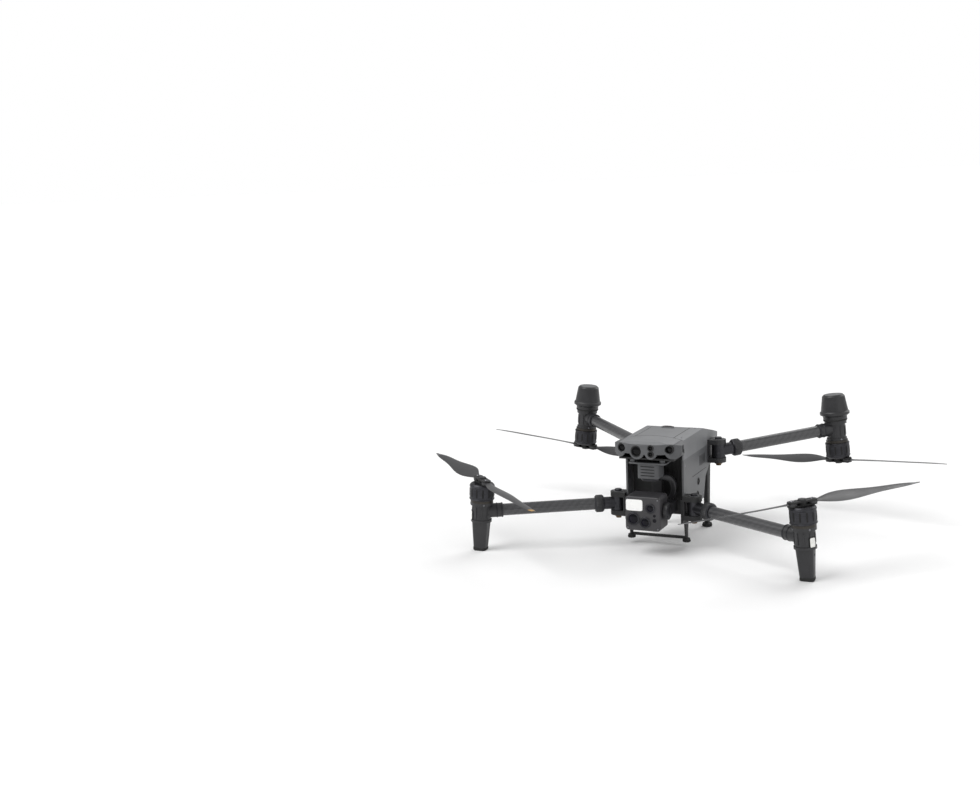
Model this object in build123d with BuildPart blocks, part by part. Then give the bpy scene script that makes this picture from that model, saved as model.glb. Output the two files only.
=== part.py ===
from build123d import *
import math
import os

# Folding four-rotor drone, millimetres. +X is the drone's left, -Y its nose, +Z up.
# The origin lies on the ground under the middle of the unfolded machine.

# ---- overall layout ----------------------------------------------------------
front_axis_x = 275.4        # where the front tower axis meets the ground
front_axis_y = -168.6
rear_axis_x = 249.5         # where the rear tower axis meets the ground
motor_span_y = 398.6        # front motors to rear motors along Y
front_lean = 4.0            # degrees that a front tower leans inwards
rear_lean = 4.9
front_tube_z = 67.0         # tube height at the front tower
rear_tube_z = 157.0

# ---- hinges ------------------------------------------------------------------
hinge_x = 66.0
front_hinge_y = -62.0
rear_hinge_y = 81.0
front_root_z = 71.0         # tube height at the front hinge
rear_root_z = 138.0
knuckle_radius = 11.5
knuckle_height = 23.0
ear_radius = 13.0
ear_thickness = 8.0
ear_gap = 0.3               # air between knuckle and ear
pin_radius = 3.5
pin_clearance = 0.05
button_radius = 6.0
button_height = 6.0
button_travel = 2.0
button_seat = 0.3           # air under a fully pressed button
button_pocket = 4.5
pin_recess = 0.5            # how far the pin stops below the pocket's floor
pin_head_radius = 6.5
pin_nut_radius = 4.5
pin_head = 3.0
ear_back = 3.0              # thickness of the plate between the ears

# ---- arm tubes ---------------------------------------------------------------
tube_radius = 10.0
tube_wall = 1.5
neck_radius = 10.4
collar_radius = 13.5
collar_start = 25.0
collar_end = 40.0
socket_depth = 14.0
glue_gap = 0.05
tip_collar_radius = 11.8
tip_collar_length = 20.0
tip_socket = 16.0

# ---- motor, rotor and propeller ----------------------------------------------
mount_radius = 16.0
mount_height = 34.0
front_mount_foot = 50.0
rear_mount_foot = 137.0
mount_flange = 5.0
mount_foot_ring = 4.0
mount_foot_proud = 1.5
stator_radius = 19.0
stator_base = 4.0
core_radius = 14.5
core_height = 24.0
bell_radius = 20.5
bell_wall = 1.6
bell_start = 4.6
bell_height = 31.4
bell_lid = 3.2
bell_edge = 2.0
lid_hole_count = 6
lid_hole_radius = 2.6
lid_hole_circle = 12.5
shaft_radius = 3.0
shaft_clearance = 0.05
post_radius = 4.0
hub_plate = 2.0
hub_rise = 0.4
hub_core_radius = 7.0
hub_side_margin = 1.0       # how much narrower the hub plates are than the blade roots
pivot_offset = 17.0
pivot_radius = 2.5
blade_root_radius = 8.0
blade_root_height = 3.4
blade_gap = 0.3
propeller_radius = 203.0
blade_chord = 34.0
blade_thickness = 3.2
blade_stations = (           # share of the length, chord share, twist in degrees, sweep
    (0.035, 0.38, 2, 0.0),
    (0.12, 0.62, 15, 0.5),
    (0.25, 1.0, 15, 1.5),
    (0.5, 0.82, 11, 1.0),
    (0.75, 0.55, 8, 0.0),
    (0.93, 0.3, 6, -1.5),
    (1.0, 0.07, 5, -3.0),
)
front_left_heading = 43.0   # blade headings at rest, from +X towards +Y on the left,
front_right_heading = 41.0  # from -X towards +Y on the right
rear_left_heading = -18.0
rear_right_heading = 8.0

# ---- towers and legs ---------------------------------------------------------
leg_top_width = 28.0
leg_bottom_width = 21.0
leg_depth_ratio = 0.84
cap_height = 47.0
cap_neck_radius = 20.0
cap_ring_radius = 25.6
cap_top_radius = 18.5
cap_ring_rise = 13.0
leg_sink = 3.0              # how far the leg's foot is drawn below the ground before it is cut level
leg_foot_corner = 5.0
leg_top_corner = 6.0

# ---- body --------------------------------------------------------------------
nose_y = -120.0
nose_corner_y = -96.0
nose_half_width = 57.0
shoulder_y = -66.0
body_half_width = 50.0
rear_corner_y = 103.0
tail_y = 146.0
tail_half_width = 45.0
crown_z = 189.0
crown_drop = 9.0            # fall of the roof from the middle to the nose corners
cover_floor_z = 150.0
cover_wall = 2.4
cover_gap = 0.3             # air between the top cover and the nose housing
nose_top_z = 184.0
nose_floor_z = 160.0
nose_wall = 5.0
panel_wall = 3.0
panel_front_z = 86.0
panel_low_y = 20.0
panel_low_z = 62.0
panel_heel_y = 44.0
panel_knee_y = 56.0
panel_knee_z = 97.0
bay_floor_z = 112.0
bay_plate = 3.0
shoulder_run = 18.0         # length of the slope from the nose's width to the body's
beacon_length = 22.0
beacon_width = 9.0
beacon_forward = 4.0
beacon_proud = 2.0
roof_slope_y = 11.0
tail_top_z = 158.0

# ---- sensors -----------------------------------------------------------------
sensor_z = 176.0
sensor_x = 40.0
sensor_radius = 6.3
pilot_camera_x = -12.0
pilot_camera_z = 173.0
pilot_camera_radius = 8.2
emitter_x = 12.0
emitter_radius = 3.9
emitter_heights = (169.0, 179.0)
corner_lobe_x = 46.0
side_sensor_radius = 5.0
side_sensor_places = ((14.0, 97.4), (9.0, 76.0))
lens_clearance = 0.1
sensor_recess = 1.0
sensor_depth = 6.0
corner_lobe_radius = 12.0
lobe_drop = 4.0
lobe_floor_z = 168.0

# ---- chassis and belly -------------------------------------------------------
bulkhead_y = -40.0
bulkhead_thickness = 3.0
deck_z = 156.7
deck_thickness = 3.0
deck_front_y = -106.0
belly_front_y = -74.0
belly_rear_y = 10.0
belly_floor_z = 46.0
belly_block_inner = 46.5
belly_plate_z = 52.0
belly_plate = 4.0
bolt_spacing_x = 60.0
bolt_spacing_y = 30.0
bolt_hole = 3.4
rear_leg_x = 42.0
rear_leg_y = 88.0
front_skid_x = 48.0
front_skid_y = -50.0
rear_leg_foot = (7.0, 11.0)
rear_leg_head = (9.0, 20.0)
rear_leg_start_z = 5.0
rear_foot_radius = 8.0
skid_foot = (3.4, 9.0)
skid_head = (3.4, 18.0)
skid_foot_z = 9.0
skid_foot_radius = 6.0
foot_height = 6.0
cross_bar_depth = 5.0
cross_bar_height = 4.0

# ---- batteries ---------------------------------------------------------------
battery_width = 40.0
battery_height = 33.0
battery_front_y = 2.0
battery_overhang = 4.0
battery_gap = 0.5
divider = 3.0
tray_lip = 2.0
tray_wall = 1.5
tray_rear_gap = 2.0
battery_stop = 3.0
battery_stop_gap = 2.0
battery_edge = 3.0
battery_end_edge = 1.5

# ---- power button ------------------------------------------------------------
power_button_radius = 7.0
power_button_y = 122.0
power_button_travel = 1.5
power_button_gap = 0.3
power_flange = 2.0
power_post_radius = 4.0
power_post_gap = 0.2
power_button_z = 154.0
power_button_height = 11.8
release_width = 24.0
release_height = 9.0
release_depth = 7.0
release_travel = 3.0
release_proud = 1.0
release_drop = 8.0
release_clearance = 0.4

# ---- electronics -------------------------------------------------------------
board_width = 80.0
board_z = 120.0
board_thickness = 1.6
board_post = 4.0
board_post_y = -28.0
chips = (                   # middle x, middle y, width, depth, height
    (0, -22, 16, 16, 2),
    (24, -24, 10, 12, 1.5),
    (-24, -20, 12, 10, 3),
    (-6, -10, 9, 5, 1.2),
)

# ---- gimbal ------------------------------------------------------------------
arm_back_y = -52.0
roll_bearing = 6.0
tilt_boss_radius = 14.0
window_x = -14.0
window_z = 86.0
window_width = 22.0
window_height = 13.0
window_depth = 6.0
lens_recess = 0.6
camera_windows = (          # x, z, radius, depth
    (-16.0, 63.0, 9.5, 8.0),
    (4.0, 58.0, 8.0, 8.0),
    (13.0, 82.0, 7.0, 6.0),
    (20.0, 62.0, 3.2, 4.0),
    (20.0, 70.0, 2.4, 4.0),
)
yaw_axis_y = -84.0
yaw_block_width = 36.0
yaw_block_depth = 34.0
yaw_block_top = 149.0
yaw_block_height = 25.0
yaw_disc_radius = 15.0
yaw_disc = 4.6
gimbal_gap = 0.4
damper_plate = (64.0, 44.0)
damper_plate_thickness = 2.5
damper_spacing = (50.0, 30.0)
damper_radius = 4.5
yaw_shaft_radius = 4.0
yaw_bore = 12.0
yaw_arm_width = 18.0
yaw_arm_thickness = 5.0
tilt_bore_x = 22.0
camera_half_width = 29.5
camera_front_y = -129.0
camera_back_y = -88.0
camera_low_z = 44.0
camera_high_z = 100.0
tilt_y = -106.0
tilt_z = 74.0
roll_plate = 4.0
roll_motor_radius = 13.0
side_arm_inner = 31.0
side_arm = 6.5
side_arm_height = 18.0


def tower_plane(x, y, lean):
    """Ground plane of a tower whose axis leans inwards by lean degrees."""
    a = math.radians(lean)
    return Plane(origin=(x, y, 0), x_dir=(math.cos(a), 0, math.sin(a)), z_dir=(-math.sin(a), 0, math.cos(a)))


rear_axis_y = front_axis_y + motor_span_y
front_tower = tower_plane(front_axis_x, front_axis_y, front_lean)
rear_tower = tower_plane(rear_axis_x, rear_axis_y, rear_lean)
front_hinge = Vector(hinge_x, front_hinge_y, front_root_z)
rear_hinge = Vector(hinge_x, rear_hinge_y, rear_root_z)


def on_axis(tower, z):
    """Point of a tower's axis at height z above the ground."""
    return tower.origin + tower.z_dir * (z / tower.z_dir.Z)


def tube_plane(hinge, tip):
    """Plane across a tube at its hinge, its normal along the tube."""
    run = tip - hinge
    return Plane(origin=hinge, x_dir=Vector(0, 0, 1).cross(run), z_dir=run)


front_tube = tube_plane(front_hinge, on_axis(front_tower, front_tube_z))
rear_tube = tube_plane(rear_hinge, on_axis(rear_tower, rear_tube_z))
front_reach = (on_axis(front_tower, front_tube_z) - front_hinge).length
rear_reach = (on_axis(rear_tower, rear_tube_z) - rear_hinge).length
front_mount_top = front_mount_foot + mount_height
rear_mount_top = rear_mount_foot + mount_height
front_motor = front_tower.offset(front_mount_top)
rear_motor = Plane(
    origin=rear_tower.offset(rear_mount_foot).origin, x_dir=rear_tower.x_dir, z_dir=rear_tower.z_dir * -1
)
hub_bottom = bell_height + hub_rise
blade_floor = hub_bottom + hub_plate + blade_gap
hub_top = blade_floor + blade_root_height + blade_gap + hub_plate

os.makedirs("parts", exist_ok=True)


def save(part, name, side="left"):
    """Write one piece. Everything is drawn on the left; right-hand pieces are mirrored."""
    piece = part if side == "left" else mirror(part, about=Plane.YZ)
    piece.label = name
    export_step(piece, f"parts/{name}.step")


def disc(plane, start, end, radius, mode=Mode.ADD):
    """Round bar along a plane's normal, in the part being built."""
    with BuildSketch(plane.offset(start)) as profile:
        Circle(radius)
    extrude(profile.sketch, amount=end - start, mode=mode)


def block(x_range, y_range, z_range, mode=Mode.ADD):
    """Box between three pairs of coordinates, in the part being built."""
    with BuildSketch(Plane.XY.offset(z_range[0])) as profile:
        with Locations(((x_range[0] + x_range[1]) / 2, (y_range[0] + y_range[1]) / 2)):
            Rectangle(x_range[1] - x_range[0], y_range[1] - y_range[0])
    extrude(profile.sketch, amount=z_range[1] - z_range[0], mode=mode)


def side_profile(points, x_range, mode=Mode.ADD):
    """Polygon drawn in Y and Z, extruded between two X values, in the part being built."""
    with BuildSketch(Plane.YZ.offset(x_range[0])) as profile:
        with BuildLine():
            Polyline(*points, close=True)
        make_face()
    extrude(profile.sketch, amount=x_range[1] - x_range[0], mode=mode)


# ---- arms --------------------------------------------------------------------
def make_knuckle(hinge, tube, name, side):
    """Hinge barrel with a neck and a screw collar that holds the arm tube."""
    barrel = Plane(origin=hinge)
    with BuildPart() as knuckle:
        disc(barrel, -knuckle_height / 2, knuckle_height / 2, knuckle_radius)
        disc(tube, 0, collar_start + 1, neck_radius)
        disc(tube, collar_start, collar_end, collar_radius)
        chamfer(knuckle.edges().filter_by(GeomType.CIRCLE).group_by(SortBy.RADIUS)[-1], 1.2)
        disc(tube, collar_end - socket_depth, collar_end, tube_radius + glue_gap, Mode.SUBTRACT)
        disc(barrel, -knuckle_height, knuckle_height, pin_radius + pin_clearance, Mode.SUBTRACT)
    save(knuckle.part, name + "_arm_knuckle", side)


def make_tube(tube, reach, name, side):
    """Hollow carbon tube from the knuckle's socket to the motor mount's socket."""
    start = collar_end - socket_depth + 0.5
    end = reach - mount_radius - tip_collar_length + tip_socket
    with BuildPart() as arm_tube:
        disc(tube, start, end, tube_radius)
        disc(tube, start, end, tube_radius - tube_wall, Mode.SUBTRACT)
    save(arm_tube.part, name + "_arm_tube", side)


def make_mount(tower, tube, reach, foot, top, name, side):
    """Upright clamp that holds the motor, with a collar over the end of the tube."""
    with BuildPart() as mount:
        disc(tower, foot, top, mount_radius)
        disc(tower, top - mount_flange, top, stator_radius)
        disc(tower, foot, foot + mount_foot_ring, mount_radius + mount_foot_proud)
        start = reach - mount_radius - tip_collar_length
        disc(tube, start, reach - 4, tip_collar_radius)
        disc(tube, start, start + tip_socket, tube_radius + glue_gap, Mode.SUBTRACT)
    save(mount.part, name + "_motor_mount", side)


def make_stator(motor, name, side):
    """Base flange and wound core with the bearing bore."""
    with BuildPart() as stator:
        disc(motor, 0, stator_base, stator_radius)
        disc(motor, stator_base, core_height, core_radius)
        disc(motor, 2, core_height, shaft_radius + shaft_clearance, Mode.SUBTRACT)
    save(stator.part, name + "_motor_stator", side)


def make_bell(motor, name, side):
    """Rotor can with its shaft below and the propeller post above."""
    lid_start = bell_height - bell_lid
    with BuildPart() as bell:
        disc(motor, bell_start, bell_height, bell_radius)
        chamfer(bell.edges().filter_by(GeomType.CIRCLE).sort_by(Axis(motor.origin, motor.z_dir))[-1], bell_edge)
        disc(motor, bell_start, lid_start, bell_radius - bell_wall, Mode.SUBTRACT)
        disc(motor, 4, lid_start, shaft_radius)
        disc(motor, bell_height, hub_top, post_radius)
        with BuildSketch(motor.offset(lid_start)):
            with PolarLocations(lid_hole_circle, lid_hole_count):
                Circle(lid_hole_radius)
        extrude(amount=bell_lid, mode=Mode.SUBTRACT)
    save(bell.part, name + "_rotor_bell", side)


def hub_plane(motor, heading):
    """Motor plane turned so that its X axis points along the first blade."""
    a = math.radians(heading)
    flip = 1 if motor.z_dir.Z > 0 else -1
    aim = Vector(math.cos(a), math.sin(a), 0)
    aim = aim - motor.z_dir * aim.dot(motor.z_dir)
    return Plane(origin=motor.origin, x_dir=aim, z_dir=motor.z_dir), flip


def make_hub(motor, heading, name, side):
    """Two plates and a core that hold the pivots of both folding blades."""
    plane, _ = hub_plane(motor, heading)
    with BuildPart() as hub:
        for start in (hub_bottom, hub_top - hub_plate):
            with BuildSketch(plane.offset(start)):
                SlotCenterToCenter(2 * pivot_offset, 2 * blade_root_radius - hub_side_margin)
            extrude(amount=hub_plate)
        disc(plane, hub_bottom, hub_top, hub_core_radius)
        for x in (-pivot_offset, pivot_offset):
            with BuildSketch(plane.offset(hub_bottom)):
                with Locations((x, 0)):
                    Circle(pivot_radius)
            extrude(amount=hub_top - hub_bottom)
        disc(plane, hub_bottom - 1, hub_top + 1, post_radius + shaft_clearance, Mode.SUBTRACT)
    save(hub.part, name + "_propeller_hub", side)


def blade_section(plane, along, chord, thickness, twist, sweep):
    """Lens-shaped blade section, standing across the blade at a distance from its pivot."""
    across = plane.z_dir.cross(plane.x_dir)
    rise = blade_floor + blade_root_height / 2
    middle = plane.origin + plane.x_dir * along + across * sweep + plane.z_dir * rise
    a = math.radians(twist)
    chord_dir = across * math.cos(a) + plane.z_dir * math.sin(a)
    section_plane = Plane(origin=middle, x_dir=chord_dir, z_dir=plane.x_dir)
    with BuildSketch(section_plane) as section:
        with BuildLine():
            ThreePointArc((-chord / 2, 0), (-chord * 0.1, thickness * 0.6), (chord / 2, 0))
            ThreePointArc((chord / 2, 0), (-chord * 0.1, -thickness * 0.4), (-chord / 2, 0))
        make_face()
    return section.sketch


def make_blade(motor, heading, letter, name, side):
    """One folding blade: a root eye on its pivot and a twisted, tapering blade."""
    plane, hand = hub_plane(motor, heading)
    eye = Plane(origin=plane.origin + plane.x_dir * pivot_offset, x_dir=plane.x_dir, z_dir=plane.z_dir)
    length = propeller_radius - pivot_offset
    with BuildPart() as blade:
        for share, chord_share, twist, sweep in blade_stations:
            thick = blade_thickness if share < 0.1 else blade_thickness * (0.85 - 0.5 * share)
            chord = blade_chord * chord_share
            add(blade_section(eye, share * length, chord, thick, hand * twist, hand * sweep))
        loft()
        disc(eye, blade_floor, blade_floor + blade_root_height, blade_root_radius)
        blade_top = blade_floor + blade_root_height
        disc(eye, blade_floor - 1, blade_top + 1, pivot_radius + shaft_clearance, Mode.SUBTRACT)
    save(blade.part, f"{name}_blade_{letter}", side)


def make_leg(side):
    """Front landing leg: a tapering block under the front motor mount, cut level at the ground."""
    with BuildPart() as leg:
        with BuildSketch(front_tower.offset(-leg_sink)):
            RectangleRounded(leg_bottom_width, leg_bottom_width * leg_depth_ratio, leg_foot_corner)
        with BuildSketch(front_tower.offset(front_mount_foot)):
            RectangleRounded(leg_top_width, leg_top_width * leg_depth_ratio, leg_top_corner)
        loft()
        split(bisect_by=Plane.XY, keep=Keep.TOP)
    save(leg.part, f"front_{side}_landing_leg", side)


def make_cap(side):
    """Rear antenna tower: a turned cap with a ring above the rear motor mount."""
    foot = rear_mount_top
    ring = foot + cap_ring_rise
    profile = Plane(origin=rear_tower.origin, x_dir=rear_tower.x_dir, z_dir=rear_tower.y_dir * -1)
    with BuildPart() as cap:
        with BuildSketch(profile):
            with BuildLine():
                Polyline(
                    (0, foot), (cap_neck_radius, foot), (cap_neck_radius + 1, ring - 4),
                    (cap_ring_radius, ring - 1),
                    (cap_ring_radius, ring + 3), (cap_ring_radius - 2, ring + 5),
                    (cap_top_radius + 1, foot + cap_height - 3), (cap_top_radius - 2, foot + cap_height),
                    (0, foot + cap_height), close=True,
                )
            make_face()
        revolve(axis=Axis(rear_tower.origin, rear_tower.z_dir))
    save(cap.part, f"rear_{side}_antenna_tower", side)


def make_button(hinge, name, side):
    """Release button that stands in a pocket of the upper hinge ear."""
    top = knuckle_height / 2 + ear_gap + ear_thickness
    floor = top - button_pocket + button_seat + button_travel
    with BuildPart() as button:
        disc(Plane(origin=hinge), floor, floor + button_height, button_radius)
        chamfer(button.edges().filter_by(GeomType.CIRCLE).sort_by(Axis.Z)[-1], 0.8)
    save(button.part, name + "_lock_button", side)


headings = {
    "front_left": front_left_heading,
    "front_right": front_right_heading,
    "rear_left": rear_left_heading,
    "rear_right": rear_right_heading,
}

for side in ("left", "right"):
    for end, hinge, tube, reach, tower, motor, foot in (
        ("front", front_hinge, front_tube, front_reach, front_tower, front_motor, front_mount_foot),
        ("rear", rear_hinge, rear_tube, rear_reach, rear_tower, rear_motor, rear_mount_foot),
    ):
        name = f"{end}_{side}"
        make_knuckle(hinge, tube, name, side)
        make_tube(tube, reach, name, side)
        make_mount(tower, tube, reach, foot, foot + mount_height, name, side)
        make_stator(motor, name, side)
        make_bell(motor, name, side)
        make_hub(motor, headings[name], name, side)
        make_blade(motor, headings[name], "a", name, side)
        make_blade(motor, headings[name] + 180, "b", name, side)
        make_button(hinge, name, side)
    make_leg(side)
    make_cap(side)


# ---- hinge pins --------------------------------------------------------------
with BuildPart() as hinge_pins:
    for hinge in (front_hinge, rear_hinge):
        half = knuckle_height / 2 + ear_gap
        pin = Plane(origin=hinge)
        foot = -half - ear_thickness
        disc(pin, foot, half + ear_thickness - button_pocket - pin_recess, pin_radius)
        disc(pin, foot - pin_head, foot, pin_head_radius)
        disc(pin, foot - 2 * pin_head, foot - pin_head, pin_nut_radius)
    mirror(about=Plane.YZ)
save(hinge_pins.part, "hinge_pins")


def hinge_ears(hinge, inner_x, plate_x):
    """Two ears joined by a back plate, bored for the pin, with the button's pocket on top."""
    half = knuckle_height / 2 + ear_gap
    height = half + ear_thickness
    for start in (-height, half):
        with BuildSketch(Plane(origin=(0, 0, hinge.Z + start))) as ear:
            with Locations((hinge.X, hinge.Y)):
                Circle(ear_radius)
            with Locations(((inner_x + hinge.X) / 2, hinge.Y)):
                Rectangle(hinge.X - inner_x, 2 * ear_radius)
        extrude(ear.sketch, amount=ear_thickness)
    ear_depth = (hinge.Y - ear_radius, hinge.Y + ear_radius)
    block((inner_x, plate_x), ear_depth, (hinge.Z - height, hinge.Z + height))
    pin = Plane(origin=hinge)
    disc(pin, -height, height - button_pocket - pin_recess, pin_radius + pin_clearance / 2, Mode.SUBTRACT)
    disc(pin, height - button_pocket, height, button_radius + pin_clearance, Mode.SUBTRACT)


# ---- outer hull --------------------------------------------------------------
def hull_outline(inset):
    """Plan of the body, from the bowed nose to the tapering tail, moved inwards by inset."""
    with BuildSketch() as plan:
        with BuildLine():
            ThreePointArc((nose_half_width, nose_corner_y), (0, nose_y), (-nose_half_width, nose_corner_y))
            Polyline(
                (-nose_half_width, nose_corner_y), (-nose_half_width, shoulder_y - shoulder_run),
                (-body_half_width, shoulder_y),
                (-body_half_width, rear_corner_y), (-tail_half_width, tail_y), (tail_half_width, tail_y),
                (body_half_width, rear_corner_y), (body_half_width, shoulder_y),
                (nose_half_width, shoulder_y - shoulder_run), (nose_half_width, nose_corner_y),
            )
        make_face()
        if inset > 0:
            offset(amount=-inset, kind=Kind.INTERSECTION)
    return plan.sketch


def roof_hull(inset, floor):
    """Solid under the crowned roof: plan, crown and side profile all moved inwards by inset."""
    top = crown_z - inset
    edge = nose_half_width + 5
    base = min(floor, tail_top_z - inset) - 5
    with BuildPart() as hull:
        add(extrude(Plane.XY.offset(floor) * hull_outline(inset), crown_z + 5 - floor, mode=Mode.PRIVATE))
        with BuildSketch(Plane.XZ.offset(-tail_y - 10)) as crown:
            with BuildLine():
                ThreePointArc((-edge, top - crown_drop), (0, top), (edge, top - crown_drop))
                Polyline(
                    (edge, top - crown_drop), (edge, floor - 5), (-edge, floor - 5), (-edge, top - crown_drop)
                )
            make_face()
        extrude(crown.sketch, amount=tail_y - nose_y + 20, mode=Mode.INTERSECT)
        with BuildSketch(Plane.YZ.offset(-edge - 5)) as profile:
            with BuildLine():
                Polyline(
                    (nose_y - 5, base), (nose_y - 5, top - 9), (nose_y + 1, top - 6), (nose_y + 12, top - 1.5),
                    (nose_y + 26, top), (roof_slope_y, top),
                )
                Polyline((roof_slope_y, top), (roof_slope_y + 30, top - 5), (tail_y + 1, tail_top_z - inset))
                Polyline((tail_y + 1, tail_top_z - inset), (tail_y + 1, base), (nose_y - 5, base))
            make_face()
        extrude(profile.sketch, amount=2 * edge + 10, mode=Mode.INTERSECT)
    return hull.part


with BuildPart() as top_cover:
    add(roof_hull(0, cover_floor_z))
    block((-70, 70), (nose_y - 10, shoulder_y + cover_gap), (cover_floor_z - 1, nose_top_z), Mode.SUBTRACT)
    add(roof_hull(cover_wall, cover_floor_z - 10), mode=Mode.SUBTRACT)
    with BuildSketch(Plane.XY.offset(crown_z - cover_wall - 0.5)):
        with Locations((0, roof_slope_y - beacon_forward)):
            SlotOverall(beacon_length, beacon_width)
    extrude(amount=cover_wall + 0.5 + beacon_proud)
    with BuildSketch(Plane.XY.offset(tail_top_z - 2)):
        with Locations((0, power_button_y)):
            Circle(power_button_radius + power_button_gap)
    extrude(amount=20, mode=Mode.SUBTRACT)
save(top_cover.part, "top_cover")

with BuildPart() as nose_housing:
    with BuildSketch(Plane.XZ.offset(-shoulder_y)) as front:
        with Locations((0, (lobe_floor_z + nose_top_z - cover_gap) / 2)):
            Rectangle(2 * nose_half_width + 10, nose_top_z - cover_gap - lobe_floor_z)
        with Locations((-corner_lobe_x, sensor_z - lobe_drop), (corner_lobe_x, sensor_z - lobe_drop)):
            Circle(corner_lobe_radius)
        with Locations((pilot_camera_x, pilot_camera_z)):
            Circle(pilot_camera_radius + 5)
        with Locations((emitter_x, sum(emitter_heights) / 2 - lobe_drop)):
            Circle(emitter_radius + 5.5)
        with Locations((0, nose_top_z + 20)):
            Rectangle(2 * nose_half_width + 10, 40 + 2 * cover_gap, mode=Mode.SUBTRACT)
    extrude(front.sketch, amount=shoulder_y - nose_y + 20)
    add(roof_hull(0, nose_floor_z), mode=Mode.INTERSECT)
    add(roof_hull(nose_wall, nose_floor_z + 4), mode=Mode.SUBTRACT)
    holes = [(-sensor_x, sensor_z, sensor_radius), (sensor_x, sensor_z, sensor_radius)]
    holes.append((pilot_camera_x, pilot_camera_z, pilot_camera_radius))
    holes.extend((emitter_x, z, emitter_radius) for z in emitter_heights)
    for x, z, radius in holes:
        with BuildSketch(Plane.XZ.offset(-nose_corner_y - 8)) as bore:
            with Locations((x, z)):
                Circle(radius + lens_clearance)
        extrude(bore.sketch, amount=60, mode=Mode.SUBTRACT)
save(nose_housing.part, "nose_housing")

# ---- side panels -------------------------------------------------------------
panel_edge = [
    (shoulder_y, cover_floor_z), (shoulder_y, panel_front_z), (panel_low_y, panel_low_z),
    (panel_heel_y, panel_low_z), (panel_knee_y, panel_knee_z), (panel_knee_y + 20, bay_floor_z),
    (tail_y, bay_floor_z + 6), (tail_y, cover_floor_z),
]
with BuildPart() as side_panels:
    side_profile(panel_edge, (0, body_half_width + 5))
    below = Plane.XY.offset(panel_low_z - 5)
    outside = extrude(below * hull_outline(0), 100, mode=Mode.PRIVATE)
    inside = extrude(below.offset(-1) * hull_outline(panel_wall), 102, mode=Mode.PRIVATE)
    add(outside, mode=Mode.INTERSECT)
    add(inside, mode=Mode.SUBTRACT)
    block((0, body_half_width - panel_wall), (nose_y, tail_y + 10), (0, 200), Mode.SUBTRACT)
    for y, z in side_sensor_places:
        with BuildSketch(Plane.YZ.offset(body_half_width - panel_wall - 1)) as bore:
            with Locations((y, z)):
                Circle(side_sensor_radius + lens_clearance)
        extrude(bore.sketch, amount=panel_wall + 2, mode=Mode.SUBTRACT)
    mirror(about=Plane.YZ)
save(side_panels.part, "side_panels")

# ---- chassis: bulkhead, upper deck, battery tray -----------------------------
tray_rear_y = tail_y - tray_rear_gap
tray_half = battery_width + divider / 2 + 2 * battery_gap + tray_lip
tray_top_z = cover_floor_z - 1
bulkhead_back_y = bulkhead_y + bulkhead_thickness
stop_back_y = battery_front_y - battery_stop_gap
stop_front_y = stop_back_y - battery_stop
inner_width = (-belly_block_inner, belly_block_inner)
tray_width = (-tray_half, tray_half)
tray_height = (bay_floor_z, tray_top_z)
with BuildPart() as chassis:
    block(inner_width, (bulkhead_y, bulkhead_back_y), (belly_plate_z + belly_plate, deck_z))
    block(inner_width, (deck_front_y, bulkhead_back_y), (deck_z, deck_z + deck_thickness))
    block(tray_width, (bulkhead_y, tray_rear_y), (bay_floor_z, bay_floor_z + bay_plate))
    block((-divider / 2, divider / 2), (stop_front_y, tray_rear_y), tray_height)
    post_top = power_button_z - power_button_travel - power_post_gap
    disc(Plane(origin=(0, power_button_y, 0)), tray_top_z, post_top, power_post_radius)
    for x in (-tray_half, tray_half - tray_wall):
        block((x, x + tray_wall), (bulkhead_y, rear_corner_y), tray_height)
    block(tray_width, (stop_front_y, stop_back_y), tray_height)
save(chassis.part, "chassis")

# ---- rear hinge brackets -----------------------------------------------------
with BuildPart() as rear_bracket:
    hinge_ears(rear_hinge, body_half_width, body_half_width + ear_back)
    mirror(about=Plane.YZ)
save(rear_bracket.part, "rear_hinge_brackets")

# ---- belly frame: two side blocks with the front hinge ears, joined by a floor plate 
belly_edge = [
    (belly_front_y, belly_floor_z), (belly_rear_y, belly_floor_z), (panel_low_y, panel_low_z),
    (shoulder_y, panel_front_z), (belly_front_y, panel_front_z),
]
with BuildPart() as belly_frame:
    side_profile(belly_edge, (belly_block_inner, body_half_width))
    hinge_ears(front_hinge, body_half_width, body_half_width + ear_back)
    mirror(about=Plane.YZ)
    block((-body_half_width + 1, body_half_width - 1), (bulkhead_y, belly_rear_y),
          (belly_plate_z, belly_plate_z + belly_plate))
    with BuildSketch(Plane.XY.offset(belly_plate_z)):
        with Locations((0, (bulkhead_y + belly_rear_y) / 2)):
            with GridLocations(bolt_spacing_x, bolt_spacing_y, 2, 2):
                Circle(bolt_hole / 2)
    extrude(amount=belly_plate, mode=Mode.SUBTRACT)
save(belly_frame.part, "belly_frame")

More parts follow.
